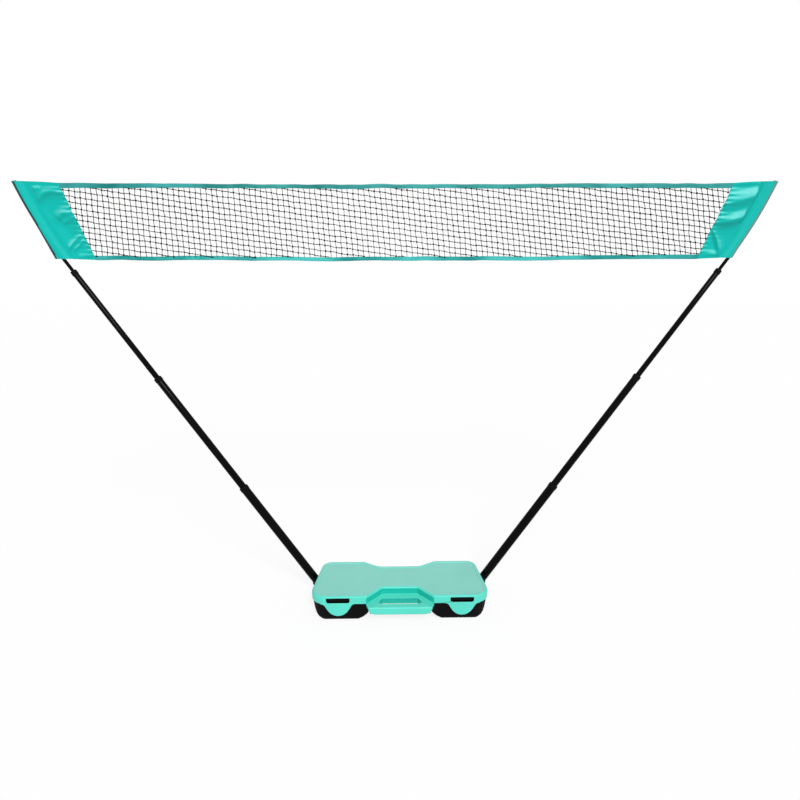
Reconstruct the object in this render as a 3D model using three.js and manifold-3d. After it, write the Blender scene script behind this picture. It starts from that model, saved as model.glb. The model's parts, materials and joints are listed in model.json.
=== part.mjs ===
// Free-standing badminton net set: a flat carry case stands on the floor as the base, two telescopic
// poles lean out of its ends in a V, and a low net with fabric end panels hangs between their tips.
// Millimetres, +Z up, +X along the net, -Y towards the case's handle. The origin is on the floor,
// under the middle of the set.
import * as THREE from "three";
import { mergeVertices } from "three/addons/utils/BufferGeometryUtils.js";
import Module from "manifold-3d";

const wasm = await Module();
wasm.setup();

// Fits
const gap = 0.3; // between pieces that touch
const slideFit = 0.4; // radial, between a collar or bush and the tube that runs in it
const lidFit = 0.5; // between the lid's skirt and the base's rim
const overrun = 4; // how far a cutting shape runs past the face it cuts

// Carry case, seen from above: half widths from the middle, depths from the lid's front line
const caseDepth = 246;
const caseFrontHalf = 336;
const caseRearHalf = 301;
const lobeInnerHalf = 140;
const waistHalf = 80;
const waistDepth = 37;
const notchFrontHalf = 121;
const notchBackHalf = 66;
const notchDepth = 59;
const frontCornerRadius = 55;
const rearCornerRadius = 38;
const waistRadius = 45;
const notchRadius = 9;
const caseWall = 3;

// Lid
const partingHeight = 72; // lower edge of the lid's skirt
const lidHeight = 31;
const lidEdgeRadius = 6;
const edgeShares = [[0, 0], [0.6, 0.2], [0.9, 0.6], [1, 1]]; // rise and inset over the edge's radius
const rimWidth = 13; // border round the lid's sunken field
const fieldSink = 2;
const fieldDraft = 0.7; // how far the field's wall leans in over that depth
const tongueInset = 108; // middle of a tongue, in from the case's front corner
const tongueBorder = 21; // tongue outside its window
const tongueDrop = 50;
const tongueFlareShares = [[0.84, 1], [0.78, 0.88]]; // guides from the skirt down to the neck
const tongueNeckShare = 0.7; // both of the half width and of the drop
const tongueBowlShares = [[0.56, 0.32], [0.34, 0]]; // guides from the neck to the lowest point
const windowHalf = 43;
const windowSill = 3; // skirt left under each latch window
const windowHead = 1; // skirt left between a window and the lid's rounded edge
const windowRadius = 9;

// Handle, moulded in one with the lid
const ledgeRise = 3; // above the skirt's lower edge
const ledgeThickness = 5;
const slotBackHalf = 65;
const slotMiddleHalf = 81;
const slotFrontHalf = 68;
const slotBack = 30; // behind the lid's front line
const slotMiddle = 6;
const slotFront = 5; // ahead of the lid's front line
const slotLip = 3;
const slotLipDrop = 18;
const gripReach = 30; // front of the grip bar, ahead of the lid's front line
const gripOverhang = 3; // of the grip's shoulders past the recess
const gripSlant = 11; // of the grip's ends
const gripShoulder = 9;
const gripHeight = 30;
const gripEdge = 5;
const gripCornerReach = 32; // of the grip's rounded lower corners, in from its ends
const gripCornerRise = 17;
const gripCornerSteps = 4;

// Base
const archHeight = 42;
const archTopHalf = 90;
const footInnerHalf = 176;
const footRound = 64; // from the foot's flat to the base's end
const baseEndInset = 11; // of the base's end inside the lid's skirt
const archGuideShares = [0.4, 0.52]; // of the way from the arch's flat top to the foot
const footRoundShares = [0.6, 0.92]; // of the way from the foot's flat to the base's end
const footRoundRiseShare = 0.3; // of the parting height
const footEdgeInset = 12;
const footEdgeHeight = 18;
const footEdgeShares = [0.6, 0.25]; // inset gained and height of the edge's middle ring
const rimRise = 3; // base wall above the parting line, inside the skirt

// Lid hinges
const hingeInset = 81; // middle of a hinge, in from the case's rear corner
const hingeBarrelRadius = 5.5;
const hingePinRadius = 2;
const hingeGap = 0.8; // between a barrel and the wall that passes it
const hingeMiddleWidth = 28;
const hingeSideWidth = 15;
const hingeSideGap = 0.5;
const hingeWeb = 5;

// Latch tabs, behind the lid's windows
const tabHeadSide = 6; // between the head's ends and the window's
const tabHeadInset = 3.5; // between the head and the window's sill and top
const tabShoulder = 3; // of the tab's barrel past its head
const tabThickness = 2.6;
const tabPivotDepth = 9.5; // behind the outer face of the base's front wall
const tabPivotDrop = 24; // below the skirt's lower edge
const tabBarrelRadius = 3.6;
const tabPinRadius = 1.5;
const tabTailDrop = 14;
const lugThickness = 3;
const lugDepth = 12;
const lugHeight = 16;

// Poles
const poleLean = THREE.MathUtils.degToRad(33); // from upright
const poleInset = 64; // pole plane, ahead of the lid's rear face
const poleClear = 5; // between a pole and the lid's edge, at the skirt's lower edge
const tubeFootHeight = 19;
const tubeRadii = [16, 13, 9.8];
const tubeWalls = [1, 1, 0.8];
const rodRadius = 5.8;
const tubeShown = [523, 505, 446]; // tube 1's whole length, then what tubes 2 and 3 show
const tubeOverlap = 60; // of each section inside the one below it
const collarWall = 0.9;
const collarSkirt = 12;
const collarLip = 4;
const collarRoundShares = [[1, 0.2], [0.75, 0.6], [0.2, 1]]; // of the wall and of the lip
const bushLength = 18;
const bushLip = 2;
const plugDepth = 15;
const plugFlange = 2;
const socketWall = 3.5;
const socketDrop = 14; // top of a socket below the skirt's lower edge
const socketFloor = 3;
const rodBare = 51; // top rod between tube 3 and the net's hem
const rodStraight = 55; // straight stretch of the top rod above tube 3
const rodSleeved = 275.5; // top rod inside the panel's sleeve
const rodBendRadius = 1150;
const tipCapRadius = 6.4;
const tipCapWall = 0.3;
const tipCapLength = 16;

// Net
const headDrop = 6; // top tape below the panels' outer corners
const netSag = 4;
const panelTopWidth = 148;
const panelBottomWidth = 129;
const panelThickness = 2;
const panelColumns = 9;
const panelRows = 12;
const foldDepth = 5; // how far the panel's folds stand out of its plane
const foldCount = 3;
const foldLeanShare = 0.35; // of the panel's height that a fold climbs towards the sleeve
const sleeveWall = 1.6;
const sleeveMargin = 20; // fabric outside the rod at the panel's lower corner
const topTapeHeight = 14;
const bottomTapeHeight = 13;
const tapeThickness = 2.4;
const threadWidth = 3;
const threadDepth = 2;
const meshColumns = 40;
const meshRows = 5;

// Sides of round pieces
const bossSideCount = 24;
const tubeSideCount = 20;
const thinTubeSideCount = 18;
const knuckleSideCount = 16;
const barrelSideCount = 14;
const pinSideCount = 12;

// Finishes
const turquoise = { color: 0x55d3c0, roughness: 0.45, metalness: 0 };
const blackPlastic = { color: 0x121214, roughness: 0.5, metalness: 0 };
const blackTube = { color: 0x0d0d0f, roughness: 0.2, metalness: 0.6 };
const steel = { color: 0xa9adb2, roughness: 0.35, metalness: 1 };
const fabric = { color: 0x16b8ab, roughness: 0.6, metalness: 0 };
const netting = { color: 0x101012, roughness: 0.8, metalness: 0 };

// Derived sizes of the case
const caseHeight = partingHeight + lidHeight;
const windowHeight = lidHeight - lidEdgeRadius - windowHead - windowSill;
const tongueCentre = caseFrontHalf - tongueInset;
const tongueHalf = windowHalf + tongueBorder;
const ledgeHeight = partingHeight + ledgeRise;
const gripShoulderHalf = notchFrontHalf + gripOverhang;
const gripHalf = gripShoulderHalf - gripSlant;
const baseInset = caseWall + lidFit;
const baseHalf = Math.max(caseFrontHalf, caseRearHalf) - baseInset - baseEndInset;
const footOuterHalf = baseHalf - footRound;
const hingeCentre = caseRearHalf - hingeInset;
const tabHeadHalf = windowHalf - tabHeadSide;
const tabHeadHeight = windowHeight - 2 * tabHeadInset;
const tabHalf = tabHeadHalf + tabShoulder;
const tabPivotHeight = partingHeight - tabPivotDrop;
const socketTopHeight = partingHeight - socketDrop;

// Derived places. Y runs from the grip bar's front to the back of the hinge barrels.
const hingeReach = hingeGap + 2 * hingeBarrelRadius;
const halfDepth = (gripReach + caseDepth + hingeReach) / 2;
const frontY = gripReach - halfDepth;
const rearY = frontY + caseDepth;
const poleY = rearY - poleInset;
const hingeY = rearY + hingeGap + hingeBarrelRadius;
const baseFrontY = frontY + baseInset;
const lean = new THREE.Vector2(Math.sin(poleLean), Math.cos(poleLean));
const lidHalfAtPole = THREE.MathUtils.mapLinear(poleY, frontY, rearY, caseFrontHalf, caseRearHalf);
const poleCrossHalf = lidHalfAtPole + poleClear + tubeRadii[0] / lean.y;

// Booleans
function solidOf(geometry) {
  const bare = geometry.index ? geometry.toNonIndexed() : geometry.clone();
  for (const name of Object.keys(bare.attributes)) {
    if (name !== "position") bare.deleteAttribute(name);
  }
  const merged = mergeVertices(bare);
  const body = new wasm.Mesh({
    numProp: 3,
    vertProperties: new Float32Array(merged.attributes.position.array),
    triVerts: new Uint32Array(merged.index.array),
  });
  return new wasm.Manifold(body);
}

function geometryOf(solid) {
  const body = solid.getMesh();
  const geometry = new THREE.BufferGeometry();
  geometry.setAttribute("position", new THREE.BufferAttribute(body.vertProperties, body.numProp));
  geometry.setIndex(new THREE.BufferAttribute(body.triVerts, 1));
  geometry.computeVertexNormals();
  return geometry;
}

function joined(geometries) {
  return geometries.map(solidOf).reduce((whole, piece) => whole.add(piece));
}

function carve(solid, geometries) {
  return geometries.map(solidOf).reduce((whole, piece) => whole.subtract(piece), solid);
}

// Basic shapes, placed where they are used
function extrudeUp(shape, low, high) {
  const options = { depth: high - low, bevelEnabled: false, curveSegments: 5 };
  return new THREE.ExtrudeGeometry(shape, options).translate(0, 0, low);
}

function extrudeBack(shape, front, back) {
  const options = { depth: back - front, bevelEnabled: false, curveSegments: 5 };
  return new THREE.ExtrudeGeometry(shape, options).rotateX(Math.PI / 2).translate(0, back, 0);
}

function boxBetween(low, high) {
  const size = new THREE.Vector3().subVectors(high, low);
  const middle = new THREE.Vector3().addVectors(low, high).multiplyScalar(0.5);
  return new THREE.BoxGeometry(size.x, size.y, size.z).translate(middle.x, middle.y, middle.z);
}

function barAlongX(radius, from, to, y, z, sides) {
  const bar = new THREE.CylinderGeometry(radius, radius, to - from, sides).rotateZ(Math.PI / 2);
  return bar.translate((from + to) / 2, y, z);
}

function lathed(points, sides) {
  const profile = points.map(([radius, height]) => new THREE.Vector2(radius, height));
  return new THREE.LatheGeometry(profile, sides).rotateX(Math.PI / 2);
}

function ring(inner, outer, low, high, sides) {
  return lathed([[inner, low], [outer, low], [outer, high], [inner, high], [inner, low]], sides);
}

function shapeOf(points) {
  return new THREE.Shape(points.map(([x, y]) => new THREE.Vector2(x, y)));
}

// Plan of the case, as rounded corners. Moving the corners in keeps the number of points, so rings
// at different insets loft together.
const halfPlan = [
  { x: notchBackHalf, y: notchDepth, radius: notchRadius, steps: 2 },
  { x: notchFrontHalf, y: 0, radius: notchRadius, steps: 2 },
  { x: caseFrontHalf, y: 0, radius: frontCornerRadius, steps: 6 },
  { x: caseRearHalf, y: caseDepth, radius: rearCornerRadius, steps: 5 },
  { x: lobeInnerHalf, y: caseDepth, radius: waistRadius, steps: 3 },
  { x: waistHalf, y: caseDepth - waistDepth, radius: waistRadius, steps: 3 },
];
const casePlan = [...halfPlan, ...halfPlan.map((corner) => ({ ...corner, x: -corner.x })).reverse()];

function insetPlan(inset) {
  const corners = casePlan.map((corner) => new THREE.Vector2(corner.x, corner.y));
  return corners.map((corner, i) => {
    const before = corners[(i + corners.length - 1) % corners.length];
    const after = corners[(i + 1) % corners.length];
    const arriving = corner.clone().sub(before).normalize();
    const leaving = after.clone().sub(corner).normalize();
    const inward = new THREE.Vector2(-arriving.y - leaving.y, arriving.x + leaving.x).normalize();
    const share = inward.dot(new THREE.Vector2(-arriving.y, arriving.x));
    const turn = arriving.cross(leaving);
    const radius = Math.max(casePlan[i].radius - Math.sign(turn) * inset, gap);
    const place = corner.clone().addScaledVector(inward, inset / share);
    return { place, radius, steps: casePlan[i].steps };
  });
}

function planRing(inset) {
  const corners = insetPlan(inset);
  const points = [];
  corners.forEach((corner, i) => {
    const before = corners[(i + corners.length - 1) % corners.length].place;
    const after = corners[(i + 1) % corners.length].place;
    const back = before.clone().sub(corner.place).normalize();
    const ahead = after.clone().sub(corner.place).normalize();
    const halfAngle = Math.acos(THREE.MathUtils.clamp(back.dot(ahead), -1, 1)) / 2;
    const toCentre = back.clone().add(ahead).normalize();
    const centre = corner.place.clone().addScaledVector(toCentre, corner.radius / Math.sin(halfAngle));
    const tangent = corner.radius / Math.tan(halfAngle);
    const start = corner.place.clone().addScaledVector(back, tangent).sub(centre);
    const end = corner.place.clone().addScaledVector(ahead, tangent).sub(centre);
    const swing = Math.atan2(start.cross(end), start.dot(end));
    for (let step = 0; step <= corner.steps; step += 1) {
      const turned = start.clone().rotateAround(new THREE.Vector2(), (swing * step) / corner.steps);
      points.push(turned.add(centre));
    }
  });
  return points;
}

function caseLoft(levels) {
  const rings = levels.map(({ inset }) => planRing(inset));
  const count = rings[0].length;
  const positions = rings.flatMap((points, level) =>
    points.flatMap((point) => [point.x, point.y + frontY, levels[level].height])
  );
  const index = [];
  for (let level = 0; level + 1 < rings.length; level += 1) {
    for (let i = 0; i < count; i += 1) {
      const a = level * count + i;
      const b = level * count + ((i + 1) % count);
      index.push(a, b, b + count, a, b + count, a + count);
    }
  }
  const top = (rings.length - 1) * count;
  for (const [a, b, c] of THREE.ShapeUtils.triangulateShape(rings[0], [])) {
    index.push(c, b, a);
  }
  for (const [a, b, c] of THREE.ShapeUtils.triangulateShape(rings.at(-1), [])) {
    index.push(top + a, top + b, top + c);
  }
  const geometry = new THREE.BufferGeometry();
  geometry.setAttribute("position", new THREE.Float32BufferAttribute(positions, 3));
  geometry.setIndex(index);
  return geometry;
}

// Lid: a tray upside down, with a border round its field, a handle and two latch tongues
function lidShell() {
  const shoulder = caseHeight - lidEdgeRadius;
  const edge = edgeShares.map(([rise, inset]) => ({
    height: shoulder + lidEdgeRadius * rise,
    inset: lidEdgeRadius * inset,
  }));
  edge.unshift({ height: partingHeight, inset: 0 });
  const roof = caseHeight - fieldSink - caseWall;
  const hollow = [
    { height: partingHeight - overrun, inset: caseWall },
    { height: roof - lidEdgeRadius, inset: caseWall },
    { height: roof, inset: caseWall + lidEdgeRadius / 2 },
  ];
  const field = [
    { height: caseHeight - fieldSink, inset: rimWidth + fieldDraft },
    { height: caseHeight, inset: rimWidth },
    { height: caseHeight + overrun, inset: rimWidth },
  ];
  return carve(solidOf(caseLoft(edge)), [caseLoft(hollow), caseLoft(field)]);
}

function tongue(centre) {
  const low = partingHeight - tongueDrop;
  const place = ([across, up], side) => [side * tongueHalf * across, low + tongueDrop * up];
  const neck = [tongueNeckShare, tongueNeckShare];
  const down = [...tongueFlareShares, neck, ...tongueBowlShares, [0, 0]].map((spot) => place(spot, -1));
  const up = [...tongueBowlShares.toReversed(), neck, ...tongueFlareShares.toReversed(), [1, 1]];
  const back = up.map((spot) => place(spot, 1));
  const shape = new THREE.Shape();
  shape.moveTo(-tongueHalf, partingHeight);
  for (const [first, second, third] of [down.slice(0, 3), down.slice(3), back.slice(0, 3), back.slice(3)]) {
    shape.bezierCurveTo(...first, ...second, ...third);
  }
  shape.lineTo(tongueHalf, partingHeight + windowSill);
  shape.lineTo(-tongueHalf, partingHeight + windowSill);
  return extrudeBack(shape, frontY, frontY + caseWall).translate(centre, 0, 0);
}

function windowShape(half, low, height, radius) {
  const shape = new THREE.Shape();
  shape.moveTo(-half, low + height);
  shape.lineTo(-half, low + radius);
  shape.absarc(-half + radius, low + radius, radius, Math.PI, Math.PI * 1.5);
  shape.lineTo(half - radius, low);
  shape.absarc(half - radius, low + radius, radius, Math.PI * 1.5, Math.PI * 2);
  shape.lineTo(half, low + height);
  return shape;
}

function slotOutline(grow) {
  return [
    [-slotBackHalf - grow, slotBack + grow],
    [-slotMiddleHalf - grow, slotMiddle],
    [-slotFrontHalf - grow, -slotFront - grow],
    [slotFrontHalf + grow, -slotFront - grow],
    [slotMiddleHalf + grow, slotMiddle],
    [slotBackHalf + grow, slotBack + grow],
  ];
}

function handleParts() {
  const bite = caseWall / 2;
  const ledge = shapeOf([
    [-notchBackHalf - bite, notchDepth + bite],
    [-notchFrontHalf - bite, bite],
    [-gripShoulderHalf, -gripShoulder],
    [-gripHalf, -gripReach + gripEdge],
    [gripHalf, -gripReach + gripEdge],
    [gripShoulderHalf, -gripShoulder],
    [notchFrontHalf + bite, bite],
    [notchBackHalf + bite, notchDepth + bite],
  ]);
  const lip = shapeOf(slotOutline(slotLip));
  const lipLow = ledgeHeight - ledgeThickness - slotLipDrop;
  return [
    extrudeUp(ledge, ledgeHeight - ledgeThickness, ledgeHeight).translate(0, frontY, 0),
    extrudeUp(lip, lipLow, ledgeHeight - ledgeThickness / 2).translate(0, frontY, 0),
    gripBar(),
  ];
}

// The grip bar's section, swept across with chamfered ends
function gripBar() {
  const front = -gripReach;
  const back = -slotFront;
  const low = ledgeHeight - gripHeight;
  const section = new THREE.Shape();
  section.moveTo(back, low);
  section.lineTo(back, ledgeHeight);
  section.lineTo(front + gripEdge, ledgeHeight);
  section.absarc(front + gripEdge, ledgeHeight - gripEdge, gripEdge, Math.PI / 2, Math.PI);
  section.lineTo(front, low + gripEdge);
  section.absarc(front + gripEdge, low + gripEdge, gripEdge, Math.PI, Math.PI * 1.5);
  const options = { depth: 2 * gripShoulderHalf, bevelEnabled: false, curveSegments: 4 };
  const bar = new THREE.ExtrudeGeometry(section, options);
  bar.rotateX(Math.PI / 2).rotateZ(Math.PI / 2).translate(-gripShoulderHalf, frontY, 0);
  const rightEnd = [
    [gripHalf - gripCornerReach, low - overrun],
    ...Array.from({ length: gripCornerSteps + 1 }, (_, step) => {
      const turn = (Math.PI / 2) * (step / gripCornerSteps);
      const out = gripCornerReach * (1 - Math.sin(turn));
      return [gripHalf - out, low + gripCornerRise * (1 - Math.cos(turn))];
    }),
    [gripShoulderHalf, ledgeHeight - ledgeThickness],
    [gripShoulderHalf, ledgeHeight + overrun],
  ];
  const face = shapeOf([...rightEnd, ...rightEnd.map(([x, z]) => [-x, z]).toReversed()]);
  const plan = shapeOf([
    [-gripShoulderHalf, overrun],
    [-gripShoulderHalf, -gripShoulder],
    [-gripHalf, -gripReach - overrun],
    [gripHalf, -gripReach - overrun],
    [gripShoulderHalf, -gripShoulder],
    [gripShoulderHalf, overrun],
  ]);
  const faceSolid = solidOf(extrudeBack(face, frontY - gripReach - overrun, frontY + overrun));
  const planSolid = solidOf(extrudeUp(plan, low - overrun, caseHeight).translate(0, frontY, 0));
  return geometryOf(solidOf(bar).intersect(faceSolid).intersect(planSolid));
}

function hingeKnuckle(from, to, webLow, webHigh, webFront) {
  const low = new THREE.Vector3(from, webFront, webLow);
  const high = new THREE.Vector3(to, hingeY, webHigh);
  return [
    barAlongX(hingeBarrelRadius, from, to, hingeY, partingHeight, knuckleSideCount),
    boxBetween(low, high),
  ];
}

function hingeBores() {
  const reach = hingeMiddleWidth / 2 + hingeSideGap + hingeSideWidth + overrun;
  const bore = hingePinRadius + slideFit;
  return [-hingeCentre, hingeCentre].map((centre) =>
    barAlongX(bore, centre - reach, centre + reach, hingeY, partingHeight, pinSideCount)
  );
}

function lidGeometry() {
  const additions = handleParts();
  const inner = hingeMiddleWidth / 2 + hingeSideGap;
  const outer = inner + hingeSideWidth;
  const webFront = rearY - caseWall / 2;
  for (const side of [-1, 1]) {
    additions.push(tongue(side * tongueCentre));
    for (const end of [-1, 1]) {
      const faces = [side * hingeCentre + end * inner, side * hingeCentre + end * outer];
      const span = [Math.min(...faces), Math.max(...faces)];
      additions.push(...hingeKnuckle(...span, partingHeight, partingHeight + hingeWeb, webFront));
    }
  }
  const whole = additions.map(solidOf).reduce((lid, piece) => lid.add(piece), lidShell());
  const opening = windowShape(windowHalf, partingHeight + windowSill, windowHeight, windowRadius);
  const cuts = [-1, 1].map((side) => {
    const cut = extrudeBack(opening, frontY - overrun, frontY + caseWall + overrun);
    return cut.translate(side * tongueCentre, 0, 0);
  });
  const slot = extrudeUp(shapeOf(slotOutline(0)), partingHeight - gripHeight, caseHeight);
  cuts.push(slot.translate(0, frontY, 0), ...hingeBores());
  return geometryOf(carve(whole, cuts));
}

// Base: a black tray that swells into two feet, with a low arch between them
function frontProfile(inset, top) {
  const arch = archHeight + inset;
  const foot = { inner: footInnerHalf + inset, outer: footOuterHalf - inset / 2, end: baseHalf - inset };
  const archGuides = archGuideShares.map((share) => THREE.MathUtils.lerp(archTopHalf, foot.inner, share));
  const footGuides = footRoundShares.map((share) => THREE.MathUtils.lerp(foot.outer, foot.end, share));
  const half = [
    [archTopHalf, arch],
    [archGuides[0], arch],
    [archGuides[1], inset],
    [foot.inner, inset],
    [foot.outer, inset],
    [footGuides[0], inset],
    [footGuides[1], inset + partingHeight * footRoundRiseShare],
    [foot.end, partingHeight],
  ];
  const right = half;
  const left = half.map(([x, z]) => [-x, z]);
  const shape = new THREE.Shape();
  shape.moveTo(...right[0]);
  shape.bezierCurveTo(...right[1], ...right[2], ...right[3]);
  shape.lineTo(...right[4]);
  shape.bezierCurveTo(...right[5], ...right[6], ...right[7]);
  shape.lineTo(foot.end, top);
  shape.lineTo(-foot.end, top);
  shape.lineTo(...left[7]);
  shape.bezierCurveTo(...left[6], ...left[5], ...left[4]);
  shape.lineTo(...left[3]);
  shape.bezierCurveTo(...left[2], ...left[1], ...left[0]);
  return shape;
}

function baseBody(inset, top) {
  const wall = baseInset + inset;
  const [gained, risen] = footEdgeShares;
  const walls = caseLoft([
    { height: -overrun, inset: wall + footEdgeInset },
    { height: inset, inset: wall + footEdgeInset },
    { height: inset + footEdgeHeight * risen, inset: wall + footEdgeInset * (1 - gained) },
    { height: inset + footEdgeHeight, inset: wall },
    { height: top, inset: wall },
  ]);
  const front = frontProfile(inset, top + overrun);
  const profile = extrudeBack(front, frontY - overrun, rearY + overrun);
  return solidOf(walls).intersect(solidOf(profile));
}

// Pole frame: distance along the pole's axis from tube 1's lower end
const poleFoot = new THREE.Vector2(
  poleCrossHalf - ((partingHeight - tubeFootHeight) * lean.x) / lean.y,
  tubeFootHeight
);

function placeOnPole(object, side) {
  object.position.set(side * poleFoot.x, poleY, poleFoot.y);
  object.rotation.y = side * poleLean;
  return object;
}

function onPole(geometry, side) {
  const holder = placeOnPole(new THREE.Object3D(), side);
  holder.updateMatrix();
  return geometry.applyMatrix4(holder.matrix);
}

function barOnPole(radius, from, to, side) {
  const bar = new THREE.CylinderGeometry(radius, radius, to - from, bossSideCount).rotateX(Math.PI / 2);
  return onPole(bar.translate(0, 0, (from + to) / 2), side);
}

const socketBore = tubeRadii[0] + slideFit;
const socketRadius = socketBore + socketWall;
const socketTop = (socketTopHeight - tubeFootHeight) / lean.y;
const socketSeat = -plugFlange - gap;

function latchLugs(side) {
  const low = tabPivotHeight - lugHeight / 2;
  return [-1, 1].map((end) => {
    const inner = side * tongueCentre + end * (tabHalf + slideFit);
    const outer = inner + end * lugThickness;
    const from = new THREE.Vector3(Math.min(inner, outer), baseFrontY + caseWall / 2, low);
    const back = baseFrontY + caseWall + lugDepth;
    const to = new THREE.Vector3(Math.max(inner, outer), back, low + lugHeight);
    return boxBetween(from, to);
  });
}

function baseGeometry() {
  const rim = partingHeight + rimRise;
  let base = baseBody(0, rim).subtract(baseBody(caseWall, rim + overrun));
  const webTop = partingHeight - hingeGap;
  const webFront = rearY - baseInset - caseWall / 2;
  const additions = [];
  for (const side of [-1, 1]) {
    const centre = side * hingeCentre;
    const half = hingeMiddleWidth / 2;
    additions.push(...hingeKnuckle(centre - half, centre + half, webTop - hingeWeb, webTop, webFront));
    additions.push(...latchLugs(side));
    additions.push(barOnPole(socketRadius, socketSeat - socketFloor, socketTop, side));
  }
  base = additions.map(solidOf).reduce((whole, piece) => whole.add(piece), base);
  const cuts = hingeBores();
  for (const side of [-1, 1]) {
    cuts.push(barOnPole(socketBore, socketSeat, socketTop + overrun, side));
    cuts.push(tabPinBore(side));
  }
  return geometryOf(carve(base, cuts));
}

// Latch tab: a leaf on a cross pin, with a head behind the window and a springy tail
const tabPivotY = baseFrontY + tabPivotDepth;
const tabSpan = tabHalf + slideFit + lugThickness;

function tabPinBore(side) {
  const from = side * tongueCentre - tabSpan - overrun;
  const to = side * tongueCentre + tabSpan + overrun;
  return barAlongX(tabPinRadius + slideFit, from, to, tabPivotY, tabPivotHeight, pinSideCount);
}

function tabGeometry(side) {
  const centre = side * tongueCentre;
  const headLow = partingHeight + windowSill + tabHeadInset;
  const head = windowShape(tabHeadHalf, headLow, tabHeadHeight, windowRadius - tabHeadInset);
  const faceY = baseFrontY + caseWall + gap / 2;
  const leafBack = tabPivotY + tabThickness / 2;
  const tailLow = tabPivotHeight - tabTailDrop;
  const wallY = baseFrontY + caseWall + gap;
  const tail = shapeOf([
    [tabPivotY - tabThickness / 2, tabPivotHeight],
    [wallY, tailLow + tabThickness],
    [wallY, tailLow],
    [wallY + tabThickness / 2, tailLow],
    [tabPivotY + tabThickness / 2, tabPivotHeight],
  ]);
  const tailOptions = { depth: tabHalf, bevelEnabled: false };
  const tailSolid = new THREE.ExtrudeGeometry(tail, tailOptions).rotateX(Math.PI / 2).rotateZ(Math.PI / 2);
  tailSolid.translate(centre - tabHalf / 2, 0, 0);
  const leafHalf = tabHalf - tabThickness;
  const leafLow = new THREE.Vector3(centre - leafHalf, leafBack - tabThickness, tabPivotHeight);
  const leafHigh = new THREE.Vector3(centre + leafHalf, leafBack, headLow + tabHeadHeight);
  const ends = [centre - tabHalf, centre + tabHalf];
  const tab = joined([
    barAlongX(tabBarrelRadius, ...ends, tabPivotY, tabPivotHeight, barrelSideCount),
    boxBetween(leafLow, leafHigh),
    extrudeBack(head, faceY, leafBack).translate(centre, 0, 0),
    tailSolid,
  ]);
  return geometryOf(carve(tab, [tabPinBore(side)]));
}

// Poles
const tubeTops = [tubeShown[0], tubeShown[0] + tubeShown[1], tubeShown[0] + tubeShown[1] + tubeShown[2]];

function collarGeometry(section, inner) {
  const outer = tubeRadii[section] + gap;
  const top = tubeTops[section];
  return lathed([
    [outer, top - collarSkirt],
    [outer + collarWall, top - collarSkirt],
    ...collarRoundShares.map(([out, up]) => [outer + collarWall * out, top + collarLip * up]),
    [inner + slideFit, top + collarLip],
    [inner + slideFit, top + gap],
    [outer, top + gap],
    [outer, top - collarSkirt],
  ], tubeSideCount);
}

function bushGeometry(inner, bore, low) {
  const outer = bore - gap;
  return lathed([
    [inner - collarWall, low - gap - bushLip],
    [outer, low - gap - bushLip],
    [outer, low + bushLength],
    [inner + gap, low + bushLength],
    [inner + gap, low - gap],
    [inner - collarWall, low - gap],
    [inner - collarWall, low - gap - bushLip],
  ], thinTubeSideCount);
}

function footPlugGeometry() {
  const bore = tubeRadii[0] - tubeWalls[0] - gap;
  const profile = [[0, -plugFlange], [tubeRadii[0], -plugFlange], [tubeRadii[0], -gap], [bore, -gap]];
  return lathed([...profile, [bore, plugDepth], [0, plugDepth]], tubeSideCount);
}

// Centre line of the top rod, in the pole plane: straight out of tube 3, then bent upright by the net
const rodStart = tubeTops[2] - tubeOverlap;
const bendStart = tubeTops[2] + rodStraight;
const bendFoot = poleFoot.clone().addScaledVector(lean, bendStart);
const slopeStart = Math.PI / 2 - poleLean;
const hemAlong = tubeTops[2] + rodBare;
const rodEnd = hemAlong + rodSleeved;

function rodPoint(along) {
  if (along <= bendStart) return poleFoot.clone().addScaledVector(lean, along);
  const slope = slopeStart + (along - bendStart) / rodBendRadius;
  return new THREE.Vector2(
    bendFoot.x + rodBendRadius * (Math.sin(slope) - Math.sin(slopeStart)),
    bendFoot.y + rodBendRadius * (Math.cos(slopeStart) - Math.cos(slope))
  );
}

class RodLine extends THREE.Curve {
  constructor(side, from, to) {
    super();
    Object.assign(this, { side, from, to });
  }

  getPoint(share, target = new THREE.Vector3()) {
    const point = rodPoint(this.from + (this.to - this.from) * share);
    return target.set(this.side * point.x, poleY, point.y);
  }
}

function rodSweep(side, radius, from, to, steps) {
  const section = new THREE.Shape().absarc(0, 0, radius, 0, Math.PI * 2);
  const extrudePath = new RodLine(side, from, to);
  return new THREE.ExtrudeGeometry(section, { steps, curveSegments: 6, bevelEnabled: false, extrudePath });
}

function tipCapGeometry(side) {
  const cap = solidOf(rodSweep(side, tipCapRadius, rodEnd - tipCapLength, rodEnd + tipCapWall * 2, 2));
  const pocket = rodSweep(side, rodRadius + tipCapWall, rodEnd - tipCapLength - overrun, rodEnd - gap, 3);
  return geometryOf(carve(cap, [pocket]));
}

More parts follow.
